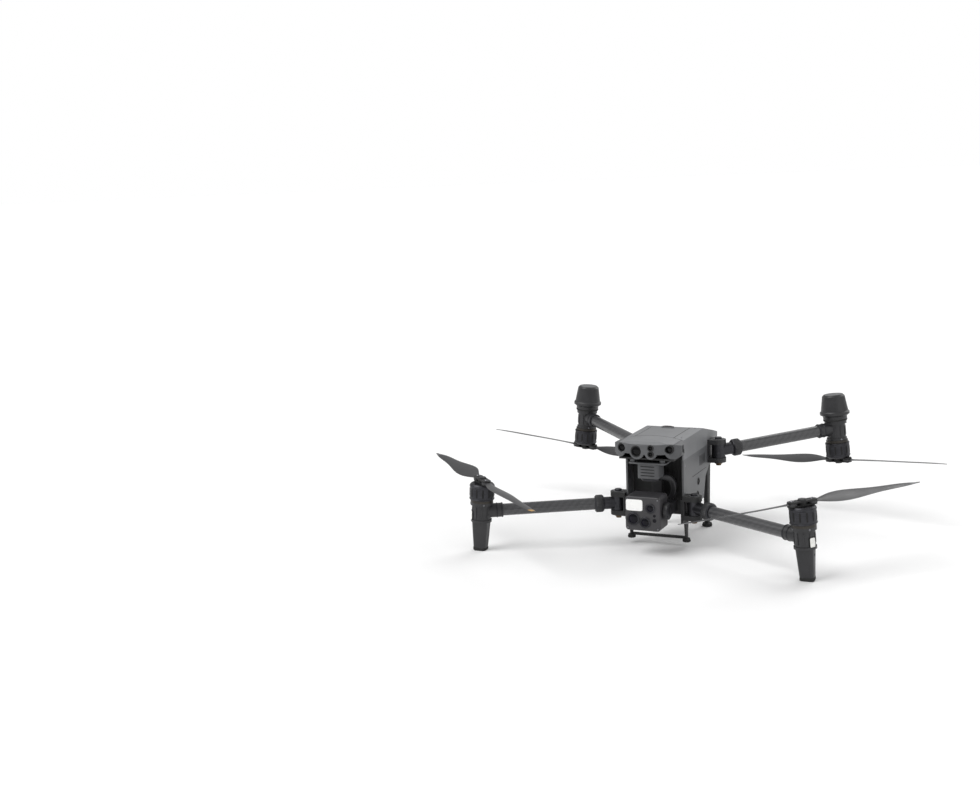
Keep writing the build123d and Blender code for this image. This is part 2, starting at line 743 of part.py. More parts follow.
# ---- skids -------------------------------------------------------------------
with BuildPart() as landing_skids:
    with BuildSketch(Plane.XY.offset(rear_leg_start_z)):
        with Locations((rear_leg_x, rear_leg_y)):
            RectangleRounded(*rear_leg_foot, 2)
    with BuildSketch(Plane.XY.offset(bay_floor_z)):
        with Locations((rear_leg_x, rear_leg_y)):
            RectangleRounded(*rear_leg_head, 2)
    loft()
    with BuildSketch(Plane.XY):
        with Locations((rear_leg_x, rear_leg_y)):
            Circle(rear_foot_radius)
    extrude(amount=foot_height)
    with BuildSketch(Plane.XY.offset(skid_foot_z + 4)):
        with Locations((front_skid_x, front_skid_y)):
            RectangleRounded(*skid_foot, 1)
    with BuildSketch(Plane.XY.offset(belly_floor_z)):
        with Locations((front_skid_x, front_skid_y)):
            RectangleRounded(*skid_head, 1)
    loft()
    with BuildSketch(Plane.XY.offset(skid_foot_z)):
        with Locations((front_skid_x, front_skid_y)):
            Circle(skid_foot_radius)
    extrude(amount=foot_height)
    mirror(about=Plane.YZ)
    bar_z = skid_foot_z + foot_height - 1
    bar_depth = (front_skid_y - cross_bar_depth / 2, front_skid_y + cross_bar_depth / 2)
    block((-front_skid_x, front_skid_x), bar_depth, (bar_z, bar_z + cross_bar_height))
save(landing_skids.part, "landing_skids")

# ---- batteries ---------------------------------------------------------------
battery_x = divider / 2 + battery_gap
battery_z = bay_floor_z + bay_plate + battery_gap
battery_rear_y = tail_y + battery_overhang
with BuildPart() as battery:
    block((battery_x, battery_x + battery_width), (battery_front_y, battery_rear_y),
          (battery_z, battery_z + battery_height))
    fillet(battery.edges().filter_by(Axis.Y), battery_edge)
    fillet(battery.faces().sort_by(Axis.Y)[-1].edges(), battery_end_edge)
    with BuildSketch(Plane.XZ.offset(-battery_rear_y)) as pocket:
        with Locations((battery_x + battery_width / 2, battery_z + battery_height - release_drop)):
            RectangleRounded(release_width + release_clearance, release_height + release_clearance, 2)
    extrude(pocket.sketch, amount=release_depth, mode=Mode.SUBTRACT)
with BuildPart() as release:
    with BuildSketch(Plane.XZ.offset(-battery_rear_y - release_proud)) as key:
        with Locations((battery_x + battery_width / 2, battery_z + battery_height - release_drop)):
            RectangleRounded(release_width, release_height, 2)
    extrude(key.sketch, amount=release_depth - release_travel)
    fillet(release.faces().sort_by(Axis.Y)[-1].edges(), 0.6)
for side in ("left", "right"):
    save(battery.part, side + "_battery", side)
    save(release.part, side + "_battery_release", side)

with BuildPart() as power_button:
    with BuildSketch(Plane.XY.offset(power_button_z)):
        with Locations((0, power_button_y)):
            Circle(power_button_radius)
    extrude(amount=power_button_height)
    disc(Plane(origin=(0, power_button_y, 0)), power_button_z, power_button_z + power_flange,
         power_button_radius + power_flange)
    fillet(power_button.edges().filter_by(GeomType.CIRCLE).sort_by(Axis.Z)[-1], 0.8)
save(power_button.part, "power_button")

# ---- electronics -------------------------------------------------------------
with BuildPart() as circuit_board:
    board_top = board_z + board_thickness
    block((-board_width / 2, board_width / 2), (bulkhead_back_y + 1, stop_front_y - 1), (board_z, board_top))
    for x, y, width, depth, height in chips:
        block((x - width / 2, x + width / 2), (y - depth / 2, y + depth / 2), (board_top, board_top + height))
    for x in (-board_width / 2 + board_post, board_width / 2 - board_post):
        post_depth = (board_post_y - board_post / 2, board_post_y + board_post / 2)
        block((x - board_post / 2, x + board_post / 2), post_depth, (bay_floor_z + bay_plate, board_z))
save(circuit_board.part, "circuit_board")

# ---- gimbal ------------------------------------------------------------------
yaw_axis = Plane(origin=(0, yaw_axis_y, 0))
block_bottom = yaw_block_top - yaw_block_height
with BuildPart() as gimbal_mount:
    with BuildSketch(Plane.XY.offset(block_bottom)):
        with Locations((0, yaw_axis_y)):
            RectangleRounded(yaw_block_width, yaw_block_depth, 5)
    extrude(amount=yaw_block_height)
    with BuildSketch(Plane.XY.offset(yaw_block_top)):
        with Locations((0, yaw_axis_y)):
            RectangleRounded(*damper_plate, 6)
    extrude(amount=damper_plate_thickness)
    with BuildSketch(Plane.XY.offset(yaw_block_top + damper_plate_thickness)):
        with Locations((0, yaw_axis_y)):
            with GridLocations(*damper_spacing, 2, 2):
                Circle(damper_radius)
    extrude(amount=deck_z - yaw_block_top - damper_plate_thickness)
    disc(yaw_axis, block_bottom - 1, block_bottom + yaw_bore, yaw_shaft_radius + shaft_clearance, Mode.SUBTRACT)
save(gimbal_mount.part, "gimbal_mount")

yaw_top = block_bottom - gimbal_gap
with BuildPart() as gimbal_yaw_arm:
    disc(yaw_axis, yaw_top - yaw_disc, yaw_top, yaw_disc_radius)
    disc(yaw_axis, yaw_top - 1, block_bottom + yaw_bore - 1, yaw_shaft_radius)
    arm_width = (-yaw_arm_width / 2, yaw_arm_width / 2)
    block(arm_width, (yaw_axis_y, arm_back_y), (yaw_top - yaw_disc, yaw_top))
    block(arm_width, (arm_back_y - yaw_arm_thickness, arm_back_y), (tilt_z, yaw_top))
    with BuildSketch(Plane.XZ.offset(-arm_back_y)) as plate:
        with Locations((0, tilt_z)):
            Circle(roll_motor_radius + 1)
    extrude(plate.sketch, amount=yaw_arm_thickness)
    with BuildSketch(Plane.XZ.offset(-arm_back_y + yaw_arm_thickness)) as bearing:
        with Locations((0, tilt_z)):
            Circle(roll_motor_radius)
            Circle(shaft_radius + shaft_clearance, mode=Mode.SUBTRACT)
    extrude(bearing.sketch, amount=roll_bearing)
    fillet(gimbal_yaw_arm.edges().filter_by(Axis.X).sort_by(Axis.Z)[-1], 2)
save(gimbal_yaw_arm.part, "gimbal_yaw_arm")

roll_back_y = arm_back_y - yaw_arm_thickness - roll_bearing - gimbal_gap
with BuildPart() as gimbal_roll_arm:
    with BuildSketch(Plane.XZ.offset(-roll_back_y)) as plate:
        with Locations((0, tilt_z)):
            Circle(roll_motor_radius)
        with Locations((side_arm_inner / 2 + side_arm / 2, tilt_z)):
            Rectangle(side_arm_inner + side_arm, side_arm_height)
    extrude(plate.sketch, amount=roll_plate)
    disc(Plane(origin=(0, roll_back_y, tilt_z), z_dir=(0, 1, 0)), -1, roll_bearing - 0.5, shaft_radius)
    with BuildSketch(Plane.YZ.offset(side_arm_inner)) as side:
        with Locations((tilt_y, tilt_z)):
            Circle(tilt_boss_radius)
        with Locations(((tilt_y + roll_back_y) / 2, tilt_z)):
            Rectangle(roll_back_y - tilt_y, side_arm_height)
    extrude(side.sketch, amount=side_arm)
    tilt_axis = Plane(origin=(side_arm_inner, tilt_y, tilt_z), z_dir=(1, 0, 0))
    disc(tilt_axis, tilt_bore_x - camera_half_width, 1, shaft_radius)
save(gimbal_roll_arm.part, "gimbal_roll_arm")

front_face = Plane.XZ.offset(-camera_front_y)
with BuildPart() as camera_housing:
    camera_width = (-camera_half_width, camera_half_width)
    block(camera_width, (camera_front_y, camera_back_y), (camera_low_z, camera_high_z))
    fillet(camera_housing.edges().filter_by(Axis.Y), 5)
    fillet(camera_housing.faces().sort_by(Axis.Y)[-1].edges(), 3)
    chamfer(camera_housing.faces().sort_by(Axis.Y)[0].edges(), 1.2)
    for x, z, radius, depth in camera_windows:
        with BuildSketch(front_face) as bore:
            with Locations((x, z)):
                Circle(radius + lens_clearance)
        extrude(bore.sketch, amount=-depth, mode=Mode.SUBTRACT)
    with BuildSketch(front_face) as bore:
        with Locations((window_x, window_z)):
            RectangleRounded(window_width + 2 * lens_clearance, window_height + 2 * lens_clearance, 2)
    extrude(bore.sketch, amount=-window_depth, mode=Mode.SUBTRACT)
    disc(Plane(origin=(0, tilt_y, tilt_z), z_dir=(1, 0, 0)), tilt_bore_x, camera_half_width + 1,
         shaft_radius + shaft_clearance, Mode.SUBTRACT)
save(camera_housing.part, "camera_housing")

with BuildPart() as camera_lenses:
    for x, z, radius, depth in camera_windows:
        with BuildSketch(front_face.offset(-depth)) as glass:
            with Locations((x, z)):
                Circle(radius)
        extrude(glass.sketch, amount=depth - lens_recess)
    with BuildSketch(front_face.offset(-window_depth)) as glass:
        with Locations((window_x, window_z)):
            RectangleRounded(window_width, window_height, 2)
    extrude(glass.sketch, amount=window_depth - lens_recess)
save(camera_lenses.part, "camera_lenses")

# ---- sensor lenses in the nose and the side panels ---------------------------
with BuildPart() as vision_sensors:
    for x, z, radius in holes:
        face_y = nose_y + (nose_corner_y - nose_y) * (x / nose_half_width) ** 2
        with BuildSketch(Plane.XZ.offset(-face_y - sensor_recess)) as glass:
            with Locations((x, z)):
                Circle(radius)
        extrude(glass.sketch, amount=-sensor_depth)
    for y, z in side_sensor_places:
        for x in (-body_half_width + 0.5, body_half_width - 2.5):
            with BuildSketch(Plane.YZ.offset(x)) as glass:
                with Locations((y, z)):
                    Circle(side_sensor_radius)
            extrude(glass.sketch, amount=2)
save(vision_sensors.part, "vision_sensors")
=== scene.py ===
import math

import bmesh
import bpy
import numpy as np
from mathutils import Matrix


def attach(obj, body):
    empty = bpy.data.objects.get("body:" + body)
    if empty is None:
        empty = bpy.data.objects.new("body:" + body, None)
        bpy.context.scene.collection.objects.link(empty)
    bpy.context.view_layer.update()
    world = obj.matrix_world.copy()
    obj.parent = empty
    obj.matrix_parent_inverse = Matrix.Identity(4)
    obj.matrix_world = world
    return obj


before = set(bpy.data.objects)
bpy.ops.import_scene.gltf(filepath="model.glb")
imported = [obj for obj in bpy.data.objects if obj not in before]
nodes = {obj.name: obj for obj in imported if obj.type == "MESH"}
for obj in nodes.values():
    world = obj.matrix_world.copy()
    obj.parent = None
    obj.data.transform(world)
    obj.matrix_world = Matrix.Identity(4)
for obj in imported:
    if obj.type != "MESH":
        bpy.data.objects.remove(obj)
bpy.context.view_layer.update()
mm = 0.001
print("frame loaded:", len(nodes), "nodes")

# where the towers, hinges and propellers stand, in mm, for the left side; the right side is mirrored
layout = {
    "front": {"foot": (275.4, -168.6), "lean": 4.0, "motor": 84.0, "up": 1, "hinge": (66, -62, 71), "tubeZ": 67.0},
    "rear": {"foot": (249.5, 230.0), "lean": 4.9, "motor": 137.0, "up": -1, "hinge": (66, 81, 138), "tubeZ": 157.0},
}
headings = {"front_left": 43.0, "front_right": 41.0, "rear_left": -18.0, "rear_right": 8.0}
arms = [(end, side) for end in ("front", "rear") for side in ("left", "right")]


def axes(origin, zDir, xHint):
    # a right-handed frame: origin and three unit rows, z along zDir and x as near xHint as it can be
    z = np.array(zDir, float)
    z /= np.linalg.norm(z)
    x = np.array(xHint, float) - z * np.dot(xHint, z)
    x /= np.linalg.norm(x)
    return np.array(origin, float), np.array([x, np.cross(z, x), z])


def facing(zDir, xHint):
    # only the three unit rows of such a frame
    return axes((0, 0, 0), zDir, xHint)[1]


def towerAxis(end, side):
    # foot on the ground and unit axis of a tower leaning inwards
    s = 1 if side == "left" else -1
    a = math.radians(layout[end]["lean"])
    x, y = layout[end]["foot"]
    return np.array([s * x, y, 0.0]), np.array([-s * math.sin(a), 0.0, math.cos(a)]), s


def towerFrame(end, side):
    # z up the tower from the ground, x outwards
    foot, up, s = towerAxis(end, side)
    return axes(foot, up, (s, 0, 0))


def motorFrame(end, side):
    # z points from the motor's base to its propeller, x outwards
    foot, up, s = towerAxis(end, side)
    return axes(foot + up * layout[end]["motor"], up * layout[end]["up"], (s, 0, 0))


def bladeFrame(end, side, letter):
    # x runs along the blade from the motor's axis
    foot, up, s = towerAxis(end, side)
    a = math.radians(headings[end + "_" + side])
    turn = 1 if letter == "a" else -1
    along = (turn * s * math.cos(a), turn * math.sin(a), 0)
    return axes(foot + up * layout[end]["motor"], up * layout[end]["up"], along)


def tubeFrame(end, side):
    # z runs from the hinge along the tube
    foot, up, s = towerAxis(end, side)
    x, y, z = layout[end]["hinge"]
    hinge = np.array([s * x, y, z], float)
    tip = foot + up * layout[end]["tubeZ"] / up[2]
    return axes(hinge, tip - hinge, (0, 0, 1))


def linear(colour):
    # sRGB hex to linear light
    c = [int(colour[i:i + 2], 16) / 255 for i in (1, 3, 5)]
    return [v / 12.92 if v <= 0.04045 else ((v + 0.055) / 1.055) ** 2.4 for v in c] + [1.0]


def addNode(tree, kind, settings, links):
    # one shader node; a link value is another node's socket or a plain number or colour
    node = tree.nodes.new(kind)
    for key, value in settings.items():
        setattr(node, key, value)
    for key, value in links.items():
        if isinstance(value, bpy.types.NodeSocket):
            tree.links.new(value, node.inputs[key])
        else:
            node.inputs[key].default_value = value
    return node


def startMaterial(name):
    # an empty material with its shader wired to the output
    material = bpy.data.materials.new(name)
    material.use_nodes = True
    tree = material.node_tree
    tree.nodes.clear()
    out = addNode(tree, "ShaderNodeOutputMaterial", {}, {})
    shader = addNode(tree, "ShaderNodeBsdfPrincipled", {}, {})
    tree.links.new(shader.outputs[0], out.inputs[0])
    return material, tree, shader


def ownCoordinates(tree, place):
    # object coordinates, or the same ones seen from a piece's own frame
    where = addNode(tree, "ShaderNodeTexCoord", {}, {}).outputs["Object"]
    if place is None:
        return where
    origin, rows = place
    turn = Matrix(rows.T.tolist()).to_euler("XYZ")
    mapping = addNode(tree, "ShaderNodeMapping", {"vector_type": "TEXTURE"},
                      {"Vector": where, "Location": [v * mm for v in origin], "Rotation": turn})
    return mapping.outputs[0]


def noise(tree, where, sizeMm, detail, stretch=(1, 1, 1)):
    # a noise whose blobs are sizeMm across, drawn out along an axis by a small stretch value
    spread = addNode(tree, "ShaderNodeMapping", {}, {"Vector": where, "Scale": stretch})
    made = addNode(tree, "ShaderNodeTexNoise", {},
                   {"Vector": spread.outputs[0], "Scale": 1 / (sizeMm * mm), "Detail": detail, "Roughness": 0.6})
    return made.outputs[0]


def ranged(tree, value, low, high, newLow, newHigh):
    # newLow + (value - low) / (high - low) * (newHigh - newLow), held between the two ends
    made = addNode(tree, "ShaderNodeMapRange", {},
                   {"Value": value, "From Min": low, "From Max": high, "To Min": newLow, "To Max": newHigh})
    return made.outputs[0]


def blended(tree, factor, first, second):
    # first * (1 - factor) + second * factor, as colours
    made = addNode(tree, "ShaderNodeMix", {"data_type": "RGBA"}, {0: factor, 6: first, 7: second})
    return made.outputs[2]


def worked(tree, operation, first, second=0.0):
    # one step of arithmetic on two values
    return addNode(tree, "ShaderNodeMath", {"operation": operation}, {0: first, 1: second}).outputs[0]


def surface(name, look, place=None):
    # a moulded, cast or anodised skin: two close tones in soft patches, a fine grain that lifts the surface,
    # pale rubbed scratches, and dust that dulls it in places
    material, tree, shader = startMaterial(name)
    where = ownCoordinates(tree, place)
    patches = noise(tree, where, look["patchMm"], 3)
    grain = noise(tree, where, look["grainMm"], 2, look.get("grainStretch", (1, 1, 1)))
    scratches = noise(tree, where, look.get("scratchMm", 5), 4, (1, 0.12, 1))
    rubbed = ranged(tree, scratches, 0.66, 0.76, 0.0, look.get("wear", 0.3))
    tone = blended(tree, ranged(tree, patches, 0.35, 0.65, 0, 1), linear(look["dark"]), linear(look["light"]))
    tone = blended(tree, ranged(tree, grain, 0.3, 0.7, 0.0, look.get("fleck", 0.25)), tone, linear(look["worn"]))
    tone = blended(tree, rubbed, tone, linear(look["worn"]))
    tree.links.new(tone, shader.inputs["Base Color"])
    low, high = look["rough"]
    rough = ranged(tree, patches, 0.3, 0.7, low, high)
    tree.links.new(worked(tree, "ADD", rough, worked(tree, "MULTIPLY", rubbed, 0.2)), shader.inputs["Roughness"])
    bump = addNode(tree, "ShaderNodeBump", {},
                   {"Height": grain, "Strength": look["bump"], "Distance": look["depthMm"] * mm})
    tree.links.new(bump.outputs[0], shader.inputs["Normal"])
    shader.inputs["Metallic"].default_value = look.get("metallic", 0.0)
    shader.inputs["Coat Weight"].default_value = look.get("coat", 0.0)
    shader.inputs["Coat Roughness"].default_value = 0.25
    return material


looks = {
    # moulded polycarbonate with a spark-eroded skin: a dry, even light grey; the grain is drawn at 1.2 mm
    # so that it shows
    "cover": {"dark": "#6A6B6D", "light": "#767779", "worn": "#8E8F91", "patchMm": 45, "grainMm": 1.2,
              "rough": (0.48, 0.6), "bump": 0.35, "depthMm": 0.15, "wear": 0.25, "fleck": 0.12},
    # the same plastic in a darker batch, for the nose
    "nose": {"dark": "#4A4B4D", "light": "#57585A", "worn": "#727377", "patchMm": 30, "grainMm": 1.2,
             "rough": (0.5, 0.62), "bump": 0.35, "depthMm": 0.15, "wear": 0.2, "fleck": 0.12},
    # mid grey polycarbonate side skins, slightly glossier
    "panel": {"dark": "#4F5052", "light": "#5B5C5E", "worn": "#7A7B7E", "patchMm": 40, "grainMm": 1.0,
              "rough": (0.42, 0.55), "bump": 0.3, "depthMm": 0.12, "wear": 0.3, "fleck": 0.12},
    # glass-filled nylon: black, matt, with a faint cloudy flow
    "frame": {"dark": "#131314", "light": "#1C1C1D", "worn": "#383839", "patchMm": 25, "grainMm": 0.9,
              "rough": (0.55, 0.7), "bump": 0.4, "depthMm": 0.12, "wear": 0.35, "fleck": 0.15},
    # satin black polycarbonate of the towers and legs
    "tower": {"dark": "#1D1D1F", "light": "#272729", "worn": "#4C4C4F", "patchMm": 22, "grainMm": 0.9,
              "rough": (0.38, 0.5), "bump": 0.3, "depthMm": 0.1, "wear": 0.3, "fleck": 0.15},
    # painted magnesium of the camera: dark warm grey, fine orange peel
    "camera": {"dark": "#2C2B2D", "light": "#363538", "worn": "#5A595D", "patchMm": 15, "grainMm": 0.8,
               "rough": (0.4, 0.52), "bump": 0.3, "depthMm": 0.08, "wear": 0.3, "fleck": 0.12},
    # black anodised aluminium: a dark metal that lights up along its turned lines
    "anodised": {"dark": "#28282B", "light": "#333337", "worn": "#77777B", "patchMm": 12, "grainMm": 2.2,
                 "rough": (0.34, 0.46), "bump": 0.3, "depthMm": 0.06, "metallic": 0.85, "wear": 0.35, "fleck": 0.2,
                 "grainStretch": (0.15, 0.15, 6)},
    # bronze, turned and slightly tarnished
    "bronze": {"dark": "#453A2E", "light": "#5F5040", "worn": "#85725A", "patchMm": 6, "grainMm": 1.5,
               "rough": (0.28, 0.42), "bump": 0.25, "depthMm": 0.05, "metallic": 1.0, "wear": 0.4, "fleck": 0.2,
               "grainStretch": (0.2, 0.2, 5)},
    # laminated steel of the motor core, darkened by varnish
    "laminated": {"dark": "#33312F", "light": "#413E3B", "worn": "#66625C", "patchMm": 8, "grainMm": 0.7,
                  "rough": (0.35, 0.5), "bump": 0.6, "depthMm": 0.1, "metallic": 0.9, "wear": 0.2, "fleck": 0.3,
                  "grainStretch": (0.05, 0.05, 2)},
    # zinc plated socket screws
    "screw": {"dark": "#6E6E72", "light": "#8A8A8E", "worn": "#B5B5B8", "patchMm": 2, "grainMm": 0.8,
              "rough": (0.28, 0.4), "bump": 0.2, "depthMm": 0.03, "metallic": 1.0, "wear": 0.3, "fleck": 0.2},
    # moulded rubber: soft black without shine
    "rubber": {"dark": "#161616", "light": "#212121", "worn": "#3A3A38", "patchMm": 10, "grainMm": 0.9,
               "rough": (0.78, 0.9), "bump": 0.4, "depthMm": 0.1, "wear": 0.5, "fleck": 0.2},
    # shadowed gaps, slots and vent openings: nearly black, dusty at the edges
    "recess": {"dark": "#0B0B0C", "light": "#141415", "worn": "#2A2A2A", "patchMm": 5, "grainMm": 1.0,
               "rough": (0.75, 0.9), "bump": 0.2, "depthMm": 0.05, "wear": 0.2, "fleck": 0.1},
    # frosted lamp windows: milky white with a faint warm patchiness
    "lamp": {"dark": "#E4E4DF", "light": "#F4F4F0", "worn": "#FFFFFF", "patchMm": 4, "grainMm": 1.0,
             "rough": (0.25, 0.4), "bump": 0.3, "depthMm": 0.1, "wear": 0.1, "fleck": 0.15, "coat": 0.4},
    # frosted infrared window: even, nearly white, with a soft gloss
    "window": {"dark": "#F0F0EE", "light": "#F7F7F5", "worn": "#FFFFFF", "patchMm": 20, "grainMm": 0.8,
               "rough": (0.2, 0.3), "bump": 0.05, "depthMm": 0.02, "wear": 0.0, "fleck": 0.05, "coat": 0.5},
    # battery case and keys: dark grey moulded plastic
    "battery": {"dark": "#3D3E40", "light": "#48494B", "worn": "#6C6D70", "patchMm": 25, "grainMm": 1.0,
                "rough": (0.5, 0.62), "bump": 0.35, "depthMm": 0.12, "wear": 0.35, "fleck": 0.12},
    "key": {"dark": "#56575A", "light": "#626366", "worn": "#85868A", "patchMm": 12, "grainMm": 0.8,
            "rough": (0.4, 0.5), "bump": 0.25, "depthMm": 0.08, "wear": 0.35, "fleck": 0.12},
}
finishNames = {
    "cover": "spark textured polycarbonate", "nose": "dark polycarbonate", "panel": "grey polycarbonate",
    "frame": "glass filled nylon", "tower": "satin black polycarbonate", "camera": "painted magnesium",
    "anodised": "black anodised aluminium", "bronze": "turned bronze", "laminated": "varnished laminated steel",
    "screw": "zinc plated steel", "rubber": "moulded rubber", "recess": "shadowed recess",
    "lamp": "frosted lamp window", "window": "frosted range window", "battery": "battery case plastic",
    "key": "grey key plastic",
}
finish = {name: surface(finishNames[name], look) for name, look in looks.items()}


weave = {"towMm": 3, "towsHalfRound": 10, "dark": "#2C2C2E", "light": "#363638", "fibre": "#4C4C4E"}


def carbonTube(name, place):
    # woven carbon under satin lacquer: tows cross in a 2/2 twill, drawn 3 mm wide so that they show,
    # dark grey against near black, with the lacquer's soft long highlight
    material, tree, shader = startMaterial(name)
    where = ownCoordinates(tree, place)
    split = addNode(tree, "ShaderNodeSeparateXYZ", {}, {0: where})
    around = worked(tree, "MULTIPLY", worked(tree, "ARCTAN2", split.outputs[1], split.outputs[0]),
                    weave["towsHalfRound"] / math.pi)
    along = worked(tree, "MULTIPLY", split.outputs[2], 1 / (weave["towMm"] * mm))
    steps = worked(tree, "ADD", worked(tree, "FLOOR", around), worked(tree, "FLOOR", along))
    raised = worked(tree, "LESS_THAN", worked(tree, "FLOORED_MODULO", steps, 4.0), 2.0)
    fibres = noise(tree, where, 0.8, 2, (1, 1, 0.1))
    tone = blended(tree, raised, linear(weave["dark"]), linear(weave["light"]))
    tone = blended(tree, ranged(tree, fibres, 0.3, 0.7, 0, 0.35), tone, linear(weave["fibre"]))
    tree.links.new(tone, shader.inputs["Base Color"])
    tree.links.new(ranged(tree, noise(tree, where, 18, 3), 0.3, 0.7, 0.3, 0.45), shader.inputs["Roughness"])
    bump = addNode(tree, "ShaderNodeBump", {}, {"Height": raised, "Strength": 0.08, "Distance": 0.05 * mm})
    tree.links.new(bump.outputs[0], shader.inputs["Normal"])
    shader.inputs["Coat Weight"].default_value = 0.5
    shader.inputs["Coat Roughness"].default_value = 0.2
    return material


# the grey tip colour is the paint on the blade tips; the gold one is a painted glint, a gold band laid on the tip of
# one blade only
bladePaint = {"dark": "#2A2A2C", "light": "#343436", "fibre": "#505052", "tipFromMm": 188, "tipToMm": 197,
              "tip": "#5E5E60", "goldGlintTip": "#B08A4E"}


def bladeSkin(name, place, tipPaintAndGlint):
    # carbon-filled nylon: satin charcoal with short bright fibres that lie along the blade, and a band at the tip: grey
    # tip paint on most blades, a gold painted glint on one
    material, tree, shader = startMaterial(name)
    where = ownCoordinates(tree, place)
    reach = addNode(tree, "ShaderNodeSeparateXYZ", {}, {0: where}).outputs[0]
    fibres = noise(tree, where, 1.6, 3, (0.12, 1, 1))
    patches = noise(tree, where, 30, 3)
    tone = blended(tree, ranged(tree, patches, 0.35, 0.65, 0, 1), linear(bladePaint["dark"]),
                   linear(bladePaint["light"]))
    tone = blended(tree, ranged(tree, fibres, 0.55, 0.75, 0, 0.5), tone, linear(bladePaint["fibre"]))
    # the band at the tip takes the tip colour: grey tip paint, and on one blade a gold painted glint
    pastStart = worked(tree, "GREATER_THAN", reach, bladePaint["tipFromMm"] * mm)
    beforeEnd = worked(tree, "LESS_THAN", reach, bladePaint["tipToMm"] * mm)
    tone = blended(tree, worked(tree, "MULTIPLY", pastStart, beforeEnd), tone, linear(tipPaintAndGlint))
    tree.links.new(tone, shader.inputs["Base Color"])
    tree.links.new(ranged(tree, patches, 0.3, 0.7, 0.36, 0.5), shader.inputs["Roughness"])
    bump = addNode(tree, "ShaderNodeBump", {}, {"Height": fibres, "Strength": 0.2, "Distance": 0.08 * mm})
    tree.links.new(bump.outputs[0], shader.inputs["Normal"])
    return material


def coatedGlass(name, middle, rimReflection):
    # a coated lens over a black barrel: black face on, with a painted reflection of its coating that tints it towards
    # its rim, faintly smudged
    material, tree, shader = startMaterial(name)
    where = ownCoordinates(tree, None)
    edgeOn = addNode(tree, "ShaderNodeLayerWeight", {}, {"Blend": 0.35}).outputs["Facing"]
    smudge = noise(tree, where, 6, 4)
    # painted reflection: the colour turns to the rim tint where the glass is seen edge-on, in place of the coating's
    # coloured reflection
    tone = blended(tree, edgeOn, linear(middle), linear(rimReflection))
    tone = blended(tree, ranged(tree, smudge, 0.55, 0.8, 0, 0.08), tone, linear("#22262C"))
    tree.links.new(tone, shader.inputs["Base Color"])
    tree.links.new(ranged(tree, smudge, 0.4, 0.8, 0.03, 0.14), shader.inputs["Roughness"])
    shader.inputs["Specular IOR Level"].default_value = 0.16
    shader.inputs["Coat Weight"].default_value = 0.06
    shader.inputs["Coat Roughness"].default_value = 0.03
    return material


def solderMask(name):
    # green solder mask over copper tracks laid out in 8 mm bricks
    material, tree, shader = startMaterial(name)
    where = ownCoordinates(tree, None)
    tracks = addNode(tree, "ShaderNodeTexBrick", {"offset": 0.5},
                     {"Vector": where, "Scale": 1 / (8 * mm), "Mortar Size": 0.05, "Color1": linear("#0E4A2C"),
                      "Color2": linear("#125534"), "Mortar": linear("#2E7A4E")})
    tree.links.new(tracks.outputs["Color"], shader.inputs["Base Color"])
    tree.links.new(ranged(tree, noise(tree, where, 5, 3), 0.3, 0.7, 0.25, 0.4), shader.inputs["Roughness"])
    bump = addNode(tree, "ShaderNodeBump", {},
                   {"Height": tracks.outputs["Fac"], "Strength": 0.3, "Distance": 0.05 * mm})
    tree.links.new(bump.outputs[0], shader.inputs["Normal"])
    return material


# each glass: its colour face on, then the tint of its painted coating reflection at the rim
finish["lens"] = coatedGlass("coated camera glass", "#07080C", "#2A2440")
finish["sensor"] = coatedGlass("dark sensor glass", "#020203", "#0A0C10")
finish["smoke"] = coatedGlass("smoked lamp glass", "#1B1416", "#3A2326")


def paint(node, material):
    # a CAD node's own material is replaced, and its shape left alone
    mesh = nodes[node].data
    mesh.materials.clear()
    mesh.materials.append(material)


plain = {
    "cover": ["top_cover"], "nose": ["nose_housing", "gimbal_mount"], "panel": ["side_panels"],
    "frame": ["chassis", "belly_frame", "landing_skids"], "camera": ["camera_housing"],
    "bronze": ["hinge_pins"], "sensor": ["vision_sensors"], "lens": ["camera_lenses"],
    "battery": ["left_battery", "right_battery"],
    "key": ["left_battery_release", "right_battery_release", "power_button"],
    "tower": ["rear_hinge_brackets", "gimbal_yaw_arm", "gimbal_roll_arm", "front_left_landing_leg",
              "front_right_landing_leg", "rear_left_antenna_tower", "rear_right_antenna_tower"],
}
for name, members in plain.items():
    for member in members:
        paint(member, finish[name])
paint("circuit_board", solderMask("green solder mask"))
for end, side in arms:
    arm = end + "_" + side
    motor = motorFrame(end, side)
    paint(arm + "_arm_tube", carbonTube(f"carbon weave {end} {side}", tubeFrame(end, side)))
    for letter in ("a", "b"):
        # the front right b blade gets a gold painted glint at its tip, the others the grey tip paint
        tip = bladePaint["goldGlintTip"] if (arm, letter) == ("front_right", "b") else bladePaint["tip"]
        skin = bladeSkin(f"blade nylon {end} {side} {letter}", bladeFrame(end, side, letter), tip)
        paint(f"{arm}_blade_{letter}", skin)
    turned = surface(f"turned anodised {end} {side}", looks["anodised"], motor)
    paint(arm + "_rotor_bell", turned)
    paint(arm + "_arm_knuckle", surface(f"anodised knuckle {end} {side}", looks["anodised"], tubeFrame(end, side)))
    paint(arm + "_motor_stator", surface(f"laminated core {end} {side}", looks["laminated"], motor))
    paint(arm + "_motor_mount", finish["tower"])
    paint(arm + "_propeller_hub", finish["frame"])
    paint(arm + "_lock_button", finish["anodised"])
print("materials made:", len(bpy.data.materials))


